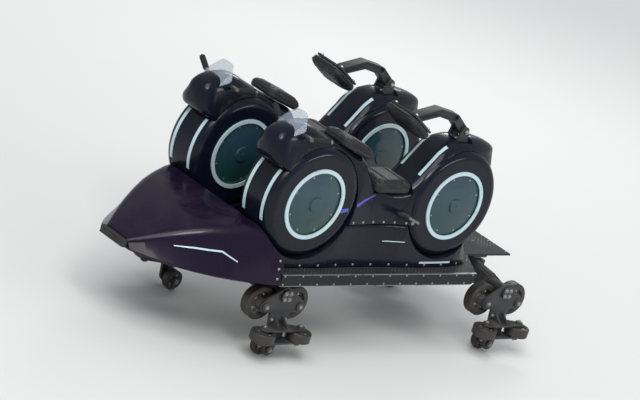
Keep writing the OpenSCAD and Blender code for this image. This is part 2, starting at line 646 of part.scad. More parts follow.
module restraint_pad() color([0.06, 0.06, 0.065]) translate([pad_x, 0, pad_z]) rotate([0, -pad_slope, 0])
    translate([0, 0, -pad_t / 2 - seat_gap]) slab(pad_l, pad_w, pad_t, 60);

chassis_frame();
axle(front_x);  // front_axle
axle(rear_x);  // rear_axle
deck_plate();
side_skirts();
nose_cowl();
nose_bumper();
brake_fin();
rear_coupling();
color([0.2, 0.33, 0.38]) for (b = SIDES, x = [0, -wheelbase], s = [-1, 1]) on_bike(b) disc_on(x, s);  // drum_discs
color([0.75, 0.82, 0.85]) for (b = SIDES, x = [0, -wheelbase], s = [-1, 1]) on_bike(b) ring_on(x, s);  // ring_trims
color([0.75, 0.82, 0.85]) for (b = SIDES, s = [-1, 1]) on_bike(b) stripe_on(s * stripe_pitch / 2);  // drum_stripes
color([0.7, 0.78, 0.85, 0.5]) for (b = SIDES) on_bike(b) screen(0);  // windscreens
for (b = SIDES) on_bike(b) handlebar();  // handlebars
color([0.05, 0.05, 0.05]) for (b = SIDES, s = [-1, 1]) on_bike(b) grip(s);  // hand_grips
for (b = SIDES) on_bike(b) saddle();  // saddles
for (b = SIDES) on_bike(b) chest_pad();  // chest_pads
for (b = SIDES) on_bike(b) foot_rest();  // foot_rests
for (b = SIDES) on_bike(b) restraint_bracket();  // restraint_brackets
for (b = SIDES) {
    on_bike(b) body_shell();
    on_bike(b) lower_fairing();
    on_bike(b) drum(0, true);
    on_bike(b) drum(-wheelbase, false);
    on_bike(b) front_cowl();
    on_bike(b) restraint_arm();
    on_bike(b) restraint_pad();
}
for (c = CORNERS) {
    carrier(c);
    upstop_wheel(c);
    road_wheel(c, 1);
    road_wheel(c, -1);
    side_wheel(c, 1);
    side_wheel(c, -1);
}
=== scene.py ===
# %% [markdown]
# Lead car of a motorbike roller coaster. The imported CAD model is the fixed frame, in metres: X forward,
# Y to the car's left, Z up, with the floor at Z = 0. This lesson dresses it: paint, lacquer, vinyl, rubber
# and worn steel as node materials, smooth moulded covers, stuffed pads, and the small fixings.

import json
import math
from collections import namedtuple
from math import cos, pi, radians, sin

import bmesh
import bpy
from mathutils import Matrix, Vector
from mathutils.bvhtree import BVHTree


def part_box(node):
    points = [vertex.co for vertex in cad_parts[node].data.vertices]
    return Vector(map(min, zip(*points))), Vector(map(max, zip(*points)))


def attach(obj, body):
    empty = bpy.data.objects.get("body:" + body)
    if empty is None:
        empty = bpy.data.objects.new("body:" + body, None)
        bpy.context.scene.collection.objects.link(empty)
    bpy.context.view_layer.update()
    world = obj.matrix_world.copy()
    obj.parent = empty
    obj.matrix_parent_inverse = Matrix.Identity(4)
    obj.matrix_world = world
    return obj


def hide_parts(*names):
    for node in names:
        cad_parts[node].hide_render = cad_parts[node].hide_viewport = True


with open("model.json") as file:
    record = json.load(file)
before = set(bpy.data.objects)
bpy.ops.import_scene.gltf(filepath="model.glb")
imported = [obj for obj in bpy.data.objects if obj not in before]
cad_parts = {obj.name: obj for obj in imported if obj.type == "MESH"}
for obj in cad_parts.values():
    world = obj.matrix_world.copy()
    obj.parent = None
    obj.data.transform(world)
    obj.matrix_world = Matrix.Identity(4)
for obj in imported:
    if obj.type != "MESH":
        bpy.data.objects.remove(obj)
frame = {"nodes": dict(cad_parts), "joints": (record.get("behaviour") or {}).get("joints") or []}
scene = bpy.context.scene
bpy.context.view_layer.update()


def middle(node):
    low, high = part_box(node)
    return (low + high) / 2


FRONT_X = middle("front_axle").x
REAR_X = middle("rear_axle").x
DRUM = middle("front_drum_left")
REAR_DRUM = middle("rear_drum_left")
BIKE_Y = DRUM.y
UP = Vector((0, 0, 1))
LEFT = Vector((0, 1, 0))
SIDES = {"left": 1, "right": -1}
AXLES = {"front": FRONT_X, "rear": REAR_X}
CORNERS = {f"{axle}_{side}": (x, hand) for axle, x in AXLES.items() for side, hand in SIDES.items()}

# %% [markdown]
# ## Camera
# The photograph looks at the car's left front from far off with a long lens, and the car leans in a banked
# curve. A camera that is rolled by the same angle gives the same lean without tilting the car itself.

# %% Camera
VIEW_AZIMUTH = 133.3
VIEW_ELEVATION = 17.6
VIEW_ROLL = 18.4
VIEW_DISTANCE = 24.0
VIEW_WIDTH = 4.0
SENSOR_MM = 36
AIM = Vector((0.02, 0.0, 0.83))


def add(name, data):
    """A new object in the scene."""
    made = bpy.data.objects.new(name, data)
    scene.collection.objects.link(made)
    return made


def make_camera():
    azimuth, elevation = radians(VIEW_AZIMUTH), radians(VIEW_ELEVATION)
    toward = Vector((sin(azimuth) * cos(elevation), -cos(azimuth) * cos(elevation),
                     sin(elevation)))
    right = UP.cross(toward).normalized()
    up = toward.cross(right)
    roll = radians(VIEW_ROLL)
    rolled_right = right * cos(roll) + up * sin(roll)
    rolled_up = up * cos(roll) - right * sin(roll)
    lens = bpy.data.cameras.new("camera")
    lens.sensor_width = SENSOR_MM
    lens.lens = SENSOR_MM * VIEW_DISTANCE / VIEW_WIDTH
    lens.clip_end = 200
    camera = add("camera", lens)
    turn = Matrix((rolled_right, rolled_up, toward)).transposed().to_4x4()
    camera.matrix_world = Matrix.Translation(AIM + toward * VIEW_DISTANCE) @ turn
    scene.camera = camera
    return lens


lens = make_camera()
print(f"camera: {lens.lens:.0f} mm lens, rolled {VIEW_ROLL} degrees")

# %% [markdown]
# ## One way to make nodes
# Shader and geometry trees are both built with one method. A wire stands for one output of a node, and
# Python's own arithmetic on wires adds the Math nodes, so a pattern reads like a formula.


# %% Wires and boards
class Wire:
    """One output of a node. Arithmetic on it adds a Math node."""

    def __init__(self, board, socket):
        self.board = board
        self.socket = socket

    def math(self, operation, *others):
        return self.board.node("ShaderNodeMath", dict(enumerate((self, *others))), operation=operation)

    def turned(self, operation, other):
        return self.board.node("ShaderNodeMath", {0: other, 1: self}, operation=operation)

    def __add__(self, other):
        return self.math("ADD", other)

    def __sub__(self, other):
        return self.math("SUBTRACT", other)

    def __rsub__(self, other):
        return self.turned("SUBTRACT", other)

    def __mul__(self, other):
        return self.math("MULTIPLY", other)

    def __truediv__(self, other):
        return self.math("DIVIDE", other)

    def __pow__(self, other):
        return self.math("POWER", other)

    def __abs__(self):
        return self.math("ABSOLUTE")

    __radd__ = __add__
    __rmul__ = __mul__

    def ramp(self, low, high):
        """0 below low, 1 above high and smooth between; low may be the larger one."""
        ends = {0: self, 1: low, 2: high}
        return self.board.node("ShaderNodeMapRange", ends, interpolation_type="SMOOTHSTEP")


class Board:
    """A node tree, to which every node is added in the same way."""

    def __init__(self, tree):
        self.tree = tree

    def node(self, kind, inputs=None, out=0, **settings):
        made = self.tree.nodes.new(kind)
        for key, setting in settings.items():
            setattr(made, key, setting)
        for key, term in (inputs or {}).items():
            for one in term if isinstance(term, list) else [term]:
                if isinstance(one, Wire):
                    self.tree.links.new(one.socket, made.inputs[key])
                else:
                    made.inputs[key].default_value = one
        return None if out is None else Wire(self, made.outputs[out])


class Finish(Board):
    """A material whose Principled shader is fed by wires or plain values."""

    def __init__(self, name, **fixed):
        self.material = bpy.data.materials.new(name)
        self.material.use_nodes = True
        super().__init__(self.material.node_tree)
        self.shader = self.tree.nodes["Principled BSDF"]
        self.feed(**fixed)

    def feed(self, **terms):
        """Sockets by name with _ for a space, such as Base_Color."""
        for key, term in terms.items():
            socket = self.shader.inputs[key.replace("_", " ")]
            if isinstance(term, Wire):
                self.tree.links.new(term.socket, socket)
            elif socket.type == "RGBA":
                socket.default_value = (*term, 1)
            else:
                socket.default_value = term

    def place(self):
        return self.node("ShaderNodeTexCoord", out=3)

    def axes(self):
        split = self.node("ShaderNodeSeparateXYZ", {0: self.place()})
        sockets = split.socket.node.outputs
        return [Wire(self, sockets[i]) for i in range(3)]

    def noise(self, scale, detail=3.0, roughness=0.5, stretch=(1, 1, 1)):
        where = self.node("ShaderNodeMapping", {0: self.place(), 3: stretch})
        terms = {"Vector": where, "Scale": scale, "Detail": detail, "Roughness": roughness}
        return self.node("ShaderNodeTexNoise", terms)

    def facing_up(self):
        """1 on level tops, 0 on walls and undersides."""
        normal = self.node("ShaderNodeNewGeometry", out=1)
        split = self.node("ShaderNodeSeparateXYZ", {0: normal}, out=2)
        return split.ramp(0.55, 0.98)

    def mix(self, share, first, second):
        """Colour first where share is 0 and second where it is 1."""
        pair = {6 + k: c if isinstance(c, Wire) else (*c, 1) for k, c in enumerate((first, second))}
        return self.node("ShaderNodeMix", {0: share, **pair}, out=2, data_type="RGBA")

    def relief(self, height, depth):
        """Bumps of a depth in metres. They come last and give the finished material."""
        self.feed(Normal=self.node("ShaderNodeBump", {"Distance": depth, "Height": height}))
        return self.material


# %% [markdown]
# ## Studio
# A plain pale floor, a hazy sun, three soft lamps and a pale world. The dark glossy covers show their shape
# only through what they mirror, so the lamps are wide and stand where the top and the near side catch them.


# %% Floor, world and lamps
FLOOR_REACH = 60
SKY, SKY_STRENGTH = (0.80, 0.82, 0.85, 1), 0.62
SUN_SPREAD = 40
LAMPS_AIM = Vector((0, 0, 0.7))
# Name, place, size in metres and power. A lamp without a size is a hazy sun.
LAMPS = (
    ("hazy_sun", (5.0, 3.5, 7.5), None, 1.7),
    ("key_lamp", (5.0, 5.5, 6.5), (1.8, 1.8), 190),
    ("side_lamp", (-3.5, 6.5, 3.0), (3.0, 0.9), 90),
    ("rear_lamp", (-6.0, -5.0, 5.0), (3.0, 1.2), 130),
)


def make_floor():
    floor_mesh = bpy.data.meshes.new("floor")
    corners = [(x * FLOOR_REACH, y * FLOOR_REACH, 0) for x, y in ((-1, -1), (1, -1), (1, 1), (-1, 1))]
    floor_mesh.from_pydata(corners, [], [(0, 1, 2, 3)])
    floor = add("floor", floor_mesh)
    paint = Finish("floor_paint", Roughness=0.9, Specular_IOR_Level=0.2)
    tone = paint.mix(paint.noise(1.5) * 0.4, (0.74, 0.74, 0.73), (0.70, 0.70, 0.69))
    paint.feed(Base_Color=tone)
    floor_mesh.materials.append(paint.material)


def make_lamp(name, place, size, power):
    """A soft rectangle, or a hazy sun where there is no size."""
    lamp = bpy.data.lights.new(name, "AREA" if size else "SUN")
    if size:
        lamp.shape = "RECTANGLE"
        lamp.size, lamp.size_y = size
    else:
        lamp.angle = radians(SUN_SPREAD)
    lamp.energy = power
    holder = add(name, lamp)
    holder.location = place
    holder.rotation_euler = (LAMPS_AIM - Vector(place)).to_track_quat("-Z", "Y").to_euler()


make_floor()
for row in LAMPS:
    make_lamp(*row)
world = bpy.data.worlds.new("studio")
world.use_nodes = True
background = world.node_tree.nodes["Background"]
background.inputs[0].default_value = SKY
background.inputs[1].default_value = SKY_STRENGTH
scene.world = world
scene.view_settings.view_transform = "Standard"
print("studio: floor, a hazy sun, three soft lamps and a pale world")

# %% [markdown]
# ## Finishes
# Each finish is one function. The covers are near-black navy lacquer and the nose near-black plum, both with
# a thin clear coat. The discs of the drums are teal, the rings and stripes a pale cyan white. Patterns use
# object coordinates, which are metres here because every piece keeps its place in its mesh.


# %% Lacquered covers
def lacquer(name, colour, flake, roughness=0.22, coat=0.16):
    paint = Finish(name, IOR=1.24, Coat_Roughness=0.05)
    broad = paint.noise(2.2, 4)
    fine = paint.noise(160, 2)
    dust = paint.facing_up() * paint.noise(9, 6).ramp(0.35, 0.8)
    tone = paint.mix(broad, colour, flake)
    tone = paint.mix(dust * 0.06, tone, (0.20, 0.20, 0.19))
    scratches = paint.noise(45, 6, 0.6, (1, 1, 5)).ramp(0.56, 0.66)
    worn = roughness + fine * 0.06 + scratches * 0.08 + dust * 0.25
    paint.feed(Base_Color=tone, Roughness=worn, Coat_Weight=coat - dust * 0.1)
    return paint.relief(paint.noise(420, 2), 0.00012)


SHELL = lacquer("shell_lacquer", (0.0030, 0.0045, 0.0105), (0.0050, 0.0072, 0.0160))
NOSE = lacquer("nose_lacquer", (0.0060, 0.0022, 0.0130), (0.0100, 0.0040, 0.0200), 0.24)
# Painted highlight: the blue-violet streak of reflected light behind each front drum, laid on as a glossy
# strip.
HIGHLIGHT_STREAK = lacquer("streak_lacquer", (0.075, 0.080, 0.36), (0.095, 0.10, 0.42), 0.3, 0.2)


def disc_lacquer():
    """A teal that turns from green to blue with height, with faint turned rings about each drum's axis."""
    paint = Finish("disc_lacquer", IOR=1.35, Coat_Roughness=0.04)
    x, _, z = paint.axes()
    along = abs(abs(x - (DRUM.x + REAR_DRUM.x) / 2) - (DRUM.x - REAR_DRUM.x) / 2)
    radius = (along ** 2 + (z - DRUM.z) ** 2) ** 0.5
    grooves = (radius * 520).math("SINE")
    tone = paint.mix((z - DRUM.z).ramp(-0.17, 0.17), (0.007, 0.046, 0.039), (0.018, 0.050, 0.070))
    tone = paint.mix(paint.noise(3.5, 3) * 0.4, tone, (0.028, 0.052, 0.085))
    grime = paint.noise(14, 5).ramp(0.5, 0.85)
    paint.feed(Base_Color=tone, Roughness=0.18 + grime * 0.16, Coat_Weight=0.35 - grime * 0.2)
    return paint.relief(grooves, 0.00004)


# Real pale trim on the rings, stripes and arches; the same finish also paints highlight lines on the fairing
# and the nose.
def pale_trim():
    trim = Finish("pale_trim", IOR=1.45)
    grime = trim.noise(18, 6, 0.65).ramp(0.52, 0.8)
    tone = trim.mix(trim.noise(5, 2), (0.40, 0.57, 0.61), (0.50, 0.64, 0.67))
    tone = trim.mix(grime * 0.45, tone, (0.16, 0.17, 0.17))
    trim.feed(Base_Color=tone, Roughness=0.34 + grime * 0.25, Coat_Weight=0.25)
    return trim.relief(trim.noise(300, 2), 0.00008)


DISC = disc_lacquer()
PALE = pale_trim()


# %% Steel, paint and rubber
def painted_steel(name, colour, bare, wear=0.6, grease=0.0):
    """Brush paint, worn to metal in spots, with dust on top and patches of oily dirt."""
    paint = Finish(name)
    chips = paint.noise(26, 8, 0.7).ramp(0.74 - 0.10 * wear, 0.78 - 0.08 * wear)
    grime = paint.noise(7, 6, 0.6).ramp(0.42, 0.75)
    dust = paint.facing_up() * paint.noise(12, 5).ramp(0.3, 0.8)
    tone = paint.mix(grime * 0.6, colour, [c * 0.45 for c in colour])
    tone = paint.mix(dust * 0.22, tone, (0.24, 0.22, 0.19))
    tone = paint.mix(chips, tone, bare)
    worn = 0.48 + dust * 0.25 - grime * grease * 0.22 + chips * 0.04
    paint.feed(Base_Color=tone, Metallic=chips * 0.9, Roughness=worn)
    return paint.relief(paint.noise(190, 3) * 0.6 + paint.noise(30, 3) * 0.4 - chips * 0.5, 0.00035)


CHASSIS = painted_steel("chassis_paint", (0.030, 0.031, 0.036), (0.30, 0.28, 0.26), 0.5)
CARRIER = painted_steel("carrier_paint", (0.026, 0.026, 0.028), (0.33, 0.31, 0.29), 0.9, 0.9)
RESTRAINT = painted_steel("restraint_paint", (0.022, 0.022, 0.026), (0.35, 0.34, 0.33), 0.35)


def deck_paint():
    """Raised slanted studs of anti-slip plate on its top, worn bright along their crowns."""
    paint = Finish("deck_paint", IOR=1.38)
    x, y, _ = paint.axes()
    pitch = 0.030
    across, along = (x + y) / pitch, (x - y) / pitch
    cell_a, cell_b = across.math("FRACT") - 0.5, along.math("FRACT") - 0.5
    turn = (across.math("FLOOR") + along.math("FLOOR")).math("MODULO", 2.0).math("ABSOLUTE")
    long_way = cell_a * turn + cell_b * (1 - turn)
    short_way = cell_b * turn + cell_a * (1 - turn)
    stud = ((long_way / 0.42) ** 2 + (abs(short_way) / 0.14) ** 2).ramp(1.0, 0.55) * paint.facing_up()
    wear = stud * paint.noise(4, 4).ramp(0.45, 0.7)
    tone = paint.mix(paint.noise(6, 5).ramp(0.4, 0.8) * 0.5, (0.018, 0.019, 0.022), (0.034, 0.033, 0.031))
    paint.feed(Base_Color=paint.mix(wear, tone, (0.24, 0.24, 0.245)), Metallic=wear * 0.85,
               Roughness=0.62 - wear * 0.22 + paint.noise(60, 3) * 0.1)
    return paint.relief(stud + paint.noise(300, 2) * 0.06, 0.0016)


def bare_steel(name, colour, roughness, grain):
    """Drawn or ground metal: fine lines along one direction, with darker stains."""
    steel = Finish(name, Metallic=0.95)
    lines = steel.noise(60, 5, 0.6, grain)
    stain = steel.noise(6, 5).ramp(0.5, 0.85)
    tone = steel.mix(stain * 0.5, colour, [c * 0.55 for c in colour])
    steel.feed(Base_Color=tone, Roughness=roughness + lines * 0.18 + stain * 0.12)
    return steel.relief(lines, 0.0002)


def rubber(name, colour, depth=0.0004):
    skin = Finish(name, IOR=1.35)
    dust = skin.noise(10, 5).ramp(0.45, 0.85)
    skin.feed(Base_Color=skin.mix(dust * 0.35, colour, (0.11, 0.105, 0.10)), Roughness=0.62 + dust * 0.25)
    return skin.relief(skin.noise(420, 3), depth)


DECK = deck_paint()
FIN = bare_steel("fin_steel", (0.27, 0.27, 0.28), 0.28, (0.5, 10, 10))
BAR = bare_steel("bar_steel", (0.20, 0.205, 0.215), 0.30, (6, 0.6, 6))
BOLT = bare_steel("bolt_steel", (0.34, 0.335, 0.32), 0.34, (4, 4, 4))
BUMPER = rubber("bumper_rubber", (0.016, 0.016, 0.017))
GRIP = rubber("grip_rubber", (0.018, 0.018, 0.019), 0.0009)


def skirt_paint():
    """Dark skirt whose top and bottom edges are rubbed to bare metal."""
    paint = Finish("skirt_paint", IOR=1.32)
    low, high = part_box("side_skirts")
    _, _, z = paint.axes()
    half = (high.z - low.z) / 2
    edge = abs(z - (low.z + high.z) / 2).ramp(half - 0.006, half - 0.004)
    chips = paint.noise(40, 7, 0.7).ramp(0.66, 0.70)
    bare = (edge * paint.noise(20, 4).ramp(0.25, 0.45)).math("MAXIMUM", chips)
    tone = paint.mix(paint.noise(5, 5) * 0.6, (0.006, 0.007, 0.013), (0.012, 0.012, 0.016))
    tone = paint.mix(bare, tone, (0.26, 0.26, 0.27))
    paint.feed(Base_Color=tone, Metallic=bare * 0.9, Roughness=0.36 + bare * 0.05)
    return paint.relief(paint.noise(220, 3) - bare * 0.5, 0.0002)


SKIRT = skirt_paint()


# %% [markdown]
# The wheels are polyurethane treads on aluminium hubs. All road wheels share one finish: folding the
# coordinates about the middle of the car and about each axle gives the distance from the nearest wheel pin,
# and the tread starts at one radius.


# %% Wheel finishes
def wheel_finish(name, node, offset, upright, tread_from):
    """offset: distance of a wheel's pin from its axle; upright: the pin stands along Z."""
    paint = Finish(name)
    x, y, z = paint.axes()
    centre = middle(node)
    from_axle = abs(abs(x - (FRONT_X + REAR_X) / 2) - (FRONT_X - REAR_X) / 2)
    along = from_axle - offset
    across = abs(y) - centre.y if upright else z - centre.z
    radius = (along ** 2 + across ** 2) ** 0.5
    tread = radius.ramp(tread_from - 0.0008, tread_from + 0.0008)
    grime = paint.noise(16, 6, 0.6).ramp(0.40, 0.75)
    contact = radius.ramp(tread_from + 0.012, tread_from + 0.020)
    hub = paint.mix(grime * 0.7, (0.22, 0.22, 0.225), (0.050, 0.045, 0.040))
    urethane = paint.mix(grime * 0.5 + contact * 0.3, (0.036, 0.030, 0.026), (0.016, 0.015, 0.014))
    paint.feed(Base_Color=paint.mix(tread, hub, urethane), Metallic=(1 - tread) * (1 - grime * 0.6) * 0.85,
               Roughness=0.34 + tread * 0.14 + grime * 0.16)
    return paint.relief(paint.noise(240, 3) * 0.4 + (radius * 1500).math("SINE") * (1 - tread) * 0.3, 0.0002)


ROAD = wheel_finish("road_wheel_finish", "road_wheel_front_left_fore", 0.14, False, 0.078)
SIDE = wheel_finish("side_wheel_finish", "side_wheel_front_left_fore", 0.15, True, 0.056)
UPSTOP = wheel_finish("upstop_wheel_finish", "upstop_wheel_front_left", 0.0, False, 0.045)


# %% Vinyl, thread and the clear screen
def vinyl():
    skin = Finish("pad_vinyl", IOR=1.38)
    grain = {"Vector": skin.place(), "Scale": 420}
    cells = skin.node("ShaderNodeTexVoronoi", grain, feature="DISTANCE_TO_EDGE")
    creases = skin.noise(34, 5, 0.6)
    scuff = skin.noise(5, 5).ramp(0.5, 0.8)
    skin.feed(Base_Color=skin.mix(scuff * 0.5, (0.016, 0.016, 0.019), (0.036, 0.035, 0.037)),
              Roughness=0.44 + scuff * 0.18 + creases * 0.08)
    return skin.relief(cells.ramp(0.0, 0.25) * 0.7 + creases * 0.5, 0.0004)


def clear_plastic():
    clear = Finish("screen_plastic", IOR=1.49, Roughness=0.04)
    haze = clear.noise(7, 2).ramp(0.40, 0.85)
    tone = clear.mix(haze * 0.5, (0.30, 0.37, 0.44), (0.44, 0.50, 0.56))
    clear.feed(Base_Color=tone, Alpha=0.34 + haze * 0.10)
    return clear.relief(clear.noise(8, 1), 0.0002)


VINYL = vinyl()
SCREEN = clear_plastic()
THREAD = rubber("pad_thread", (0.10, 0.105, 0.115), 0.0001)

# %% [markdown]
# ## Carried-over CAD nodes
# A node whose shape is right stays and gets its finish in its material slots.

# %% Finishes on the CAD nodes
NODE_FINISHES = (
    (CHASSIS, "chassis_frame front_axle rear_axle"),
    (CARRIER, "rear_coupling carrier"),
    (RESTRAINT, "restraint_brackets restraint_arm"),
    (SHELL, "body_shell lower_fairing front_drum rear_drum front_cowl"),
    (PALE, "ring_trims drum_stripes"),
    (BAR, "handlebars foot_rests"),
    (VINYL, "saddles chest_pads restraint_pad"),
    (DECK, "deck_plate"), (SKIRT, "side_skirts"), (NOSE, "nose_cowl"), (BUMPER, "nose_bumper"),
    (FIN, "brake_fin"), (DISC, "drum_discs"), (SCREEN, "windscreens"), (GRIP, "hand_grips"),
    (ROAD, "road_wheel"), (SIDE, "side_wheel"), (UPSTOP, "upstop_wheel"),
)


def finish_of(node):
    """The finish whose list has the node's name, or its name without the side or corner."""
    found = [m for m, stems in NODE_FINISHES for stem in stems.split() if f"{node}_".startswith(stem + "_")]
    return found[0]


def give(mesh, finish):
    """One finish on the whole mesh."""
    mesh.materials.clear()
    mesh.materials.append(finish)


for node, piece in frame["nodes"].items():
    give(piece.data, finish_of(node))
print(f"finishes: {len(frame['nodes'])} nodes")

# %% [markdown]
# ## Moulded covers
# The CAD lofts are made of flat facets. A copy that is merged, cleared of the lines between level facets
# and given a small bevel on its sharp edges catches the light as a moulded cover does. The steelwork gets a
# finer bevel. The copy replaces the node in the picture only.


# %% Smooth copies of the lofted covers
MERGE_WITHIN = 1e-5
LEVEL_ANGLE = 0.5
SMOOTH_ANGLE = 32


def mesh_of(shape, name):
    """A bmesh as a mesh."""
    mesh = bpy.data.meshes.new(name)
    shape.to_mesh(mesh)
    shape.free()
    return mesh


def smooth(mesh):
    for face in mesh.polygons:
        face.use_smooth = True


def merged_copy(node, name):
    """A mesh object at the origin with the node's triangles joined up."""
    shape = bmesh.new()
    shape.from_mesh(frame["nodes"][node].data)
    bmesh.ops.remove_doubles(shape, verts=shape.verts, dist=MERGE_WITHIN)
    level = radians(LEVEL_ANGLE)
    bmesh.ops.dissolve_limit(shape, angle_limit=level, verts=shape.verts, edges=shape.edges)
    return add(name, mesh_of(shape, name))


def baked(piece):
    """Replaces a piece's mesh by what its modifiers make, and removes them."""
    graph = bpy.context.evaluated_depsgraph_get()
    mesh = bpy.data.meshes.new_from_object(piece.evaluated_get(graph))
    piece.modifiers.clear()
    piece.data = mesh
    return piece


def moulded(node, edge_r, body="chassis"):
    """A merged copy of a node with small round edges, in the node's own finish."""
    cover = merged_copy(node, node + "_cover")
    bevel = cover.modifiers.new("edges", "BEVEL")
    bevel.width = edge_r
    bevel.segments = 3
    bevel.limit_method = "ANGLE"
    bevel.angle_limit = radians(SMOOTH_ANGLE)
    baked(cover)
    give(cover.data, finish_of(node))
    cover.data.set_sharp_from_angle(angle=radians(SMOOTH_ANGLE + 8))
    smooth(cover.data)
    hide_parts(node)
    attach(cover, body)
    return cover


def faces_of(pieces):
    return sum(len(piece.data.polygons) for piece in pieces)


shells = ("body_shell", "lower_fairing", "front_cowl")
covers = [moulded(f"{stem}_{side}", 0.004) for side in SIDES for stem in shells]
covers.append(moulded("nose_cowl", 0.005))
print("covers:", len(covers), "with", faces_of(covers), "faces")

# Cut and welded steel has small broken edges too.
steelwork = [moulded("restraint_brackets", 0.0015), moulded("rear_coupling", 0.0015)]
steelwork += [moulded(f"restraint_arm_{side}", 0.002, f"restraint_{side}") for side in SIDES]
steelwork += [moulded(f"carrier_{corner}", 0.0012, f"carrier_{corner}") for corner in CORNERS]
print("steelwork:", len(steelwork), "with", faces_of(steelwork), "faces")

# %% [markdown]
# ## Stuffed pads
# Saddles, chest pads and back pads are foam under vinyl. Each starts as a copy of its plain CAD solid, is
# shrunk a little, remeshed and blown up as cloth with its back held, so its sides belly and its top crowns.
# Sewn channels are pressed in afterwards, because a remesh would swallow them.

# %% Where the pads lie
PIN = {joint["name"]: Vector(joint["pos_m"]) for joint in frame["joints"]}
# face: people touch the pad's top (1) or its underside (-1).
Pad = namedtuple("Pad", "node body tilt face length width depth channels")
CHEST_TILT = 19
BACK_SLOPE = 33
PADS = [
    Pad("saddles", "chassis", 0, 1, 0.318, 0.290, 0.080, (-0.075, 0.060)),
    Pad("chest_pads", "chassis", CHEST_TILT, 1, 0.310, 0.250, 0.070, (-0.055, 0.050)),
    Pad("restraint_pad_left", "restraint_left", BACK_SLOPE, -1, 0.250, 0.300, 0.060, (-0.045, 0.045)),
    Pad("restraint_pad_right", "restraint_right", BACK_SLOPE, -1, 0.250, 0.300, 0.060, (-0.045, 0.045)),
]


class Bed:
    """A pad's own axes: u along it, v to the left and w out of its back, from its middle."""

    def __init__(self, centre, tilt):
        self.centre = centre
        angle = radians(tilt)
        self.along = Vector((cos(angle), 0, sin(angle)))
        self.out = Vector((-sin(angle), 0, cos(angle)))

    def at(self, u, v, w):
        return self.centre + self.along * u + LEFT * v + self.out * w

    def of(self, point):
        step = point - self.centre
        return step.dot(self.along), step.dot(LEFT), step.dot(self.out)


def beds_of(pad):
    centre = middle(pad.node)
    if pad.body == "chassis":
        return [Bed(Vector((centre.x, side * BIKE_Y, centre.z)), pad.tilt) for side in SIDES.values()]
    return [Bed(centre, pad.tilt)]


def bed_under(beds, point):
    return min(beds, key=lambda bed: abs(bed.centre.y - point.y))


# %% Cloth under pressure
VOXEL = 0.006
SHRINK = 0.007
PUFF = 3.5
STIFFNESS = 12
CLOTH_FRAMES = 20
REACH = 0.014
CHANNEL_WIDTH, CHANNEL_DEPTH, CHANNEL_END = 0.006, 0.009, 0.012


def remeshed(node, name):
    soft = merged_copy(node, name)
    remesh = soft.modifiers.new("remesh", "REMESH")
    remesh.mode = "VOXEL"
    remesh.voxel_size = VOXEL
    baked(soft)
    normals = [v.normal.copy() for v in soft.data.vertices]
    for v, normal in zip(soft.data.vertices, normals):
        v.co -= normal * SHRINK
    return soft


def blown_up(soft, held):
    """Cloth with its held points fixed, stepped frame by frame; a point moves no further than REACH."""
    group = soft.vertex_groups.new(name="held")
    group.add(held, 1.0, "REPLACE")
    cloth = soft.modifiers.new("cloth", "CLOTH")
    cloth.settings.use_pressure = True
    cloth.settings.uniform_pressure_force = PUFF
    cloth.settings.vertex_group_mass = "held"
    cloth.settings.effector_weights.gravity = 0
    cloth.settings.tension_stiffness = STIFFNESS
    cloth.settings.compression_stiffness = STIFFNESS
    cloth.collision_settings.use_collision = False
    for step in range(1, CLOTH_FRAMES + 1):
        scene.frame_set(step)
    graph = bpy.context.evaluated_depsgraph_get()
    swollen = soft.evaluated_get(graph).to_mesh()
    places = [v.co.copy() for v in swollen.vertices]
    soft.evaluated_get(graph).to_mesh_clear()
    soft.modifiers.clear()
    soft.vertex_groups.clear()
    scene.frame_set(1)
    for v, place in zip(soft.data.vertices, places):
        step = place - v.co
        v.co += step * min(1, REACH / max(step.length, 1e-9))
    relax = soft.modifiers.new("relax", "SMOOTH")
    relax.factor = 0.5
    relax.iterations = 8
    baked(soft)


def channelled(soft, pad, beds):
    """Presses sewn channels into the face that people touch, across the pad."""
    for v in soft.data.vertices:
        bed = bed_under(beds, v.co)
        u, side, w = bed.of(v.co)
        if w * pad.face > 0:
            press = sum(math.exp(-((u - line) / CHANNEL_WIDTH) ** 2) for line in pad.channels)
            fade = max(0, 1 - (abs(side) / (pad.width / 2 - CHANNEL_END)) ** 8)
            v.co -= bed.out * pad.face * CHANNEL_DEPTH * press * fade


def stuffed(pad):
    beds = beds_of(pad)
    soft = remeshed(pad.node, pad.node + "_soft")
    held = [v.index for v in soft.data.vertices
            if bed_under(beds, v.co).of(v.co)[2] * pad.face < -pad.depth / 2 + SHRINK + VOXEL]
    blown_up(soft, held)
    channelled(soft, pad, beds)
    finer = soft.modifiers.new("finer", "SUBSURF")
    finer.levels = finer.render_levels = 1
    baked(soft)
    give(soft.data, VINYL)
    smooth(soft.data)
    return soft, beds


soft_pads = {}
for pad in PADS:
    soft, beds = stuffed(pad)
    soft_pads[pad.node] = (soft, pad, beds)
    print(f"{soft.name}: {len(soft.data.polygons)} faces")

# %% [markdown]
# ## Piping
# A round cord is swept along a closed row of points. The piping of a pad runs where a level ray from
# outside meets the swollen vinyl, so it sits in the seam whatever the cloth did.


# %% Cords
CORD_R, CORD_SIDES = 0.0042, 8
CORNER_R, CORNER_STEPS = 0.05, 8
CORD_HEIGHT = 0.10


def circle(centre, across, other, radius, count, start=0.0):
    """Places round a centre, in the plane of two directions."""
    turns = [start + 2 * pi * k / count for k in range(count)]
    return [centre + (across * cos(a) + other * sin(a)) * radius for a in turns]


def skin(shape, rings, closed):
    """Faces from each ring of points to the next, with both ends unless the row is closed."""
    for ring, following in zip(rings, rings[1:] + rings[:1] if closed else rings[1:]):
        count = len(ring)
        for k in range(count):
            shape.faces.new((ring[k], ring[(k + 1) % count], following[(k + 1) % count], following[k]))
    if not closed:
        shape.faces.new(rings[0][::-1])
        shape.faces.new(rings[-1])
    bmesh.ops.recalc_face_normals(shape, faces=shape.faces)


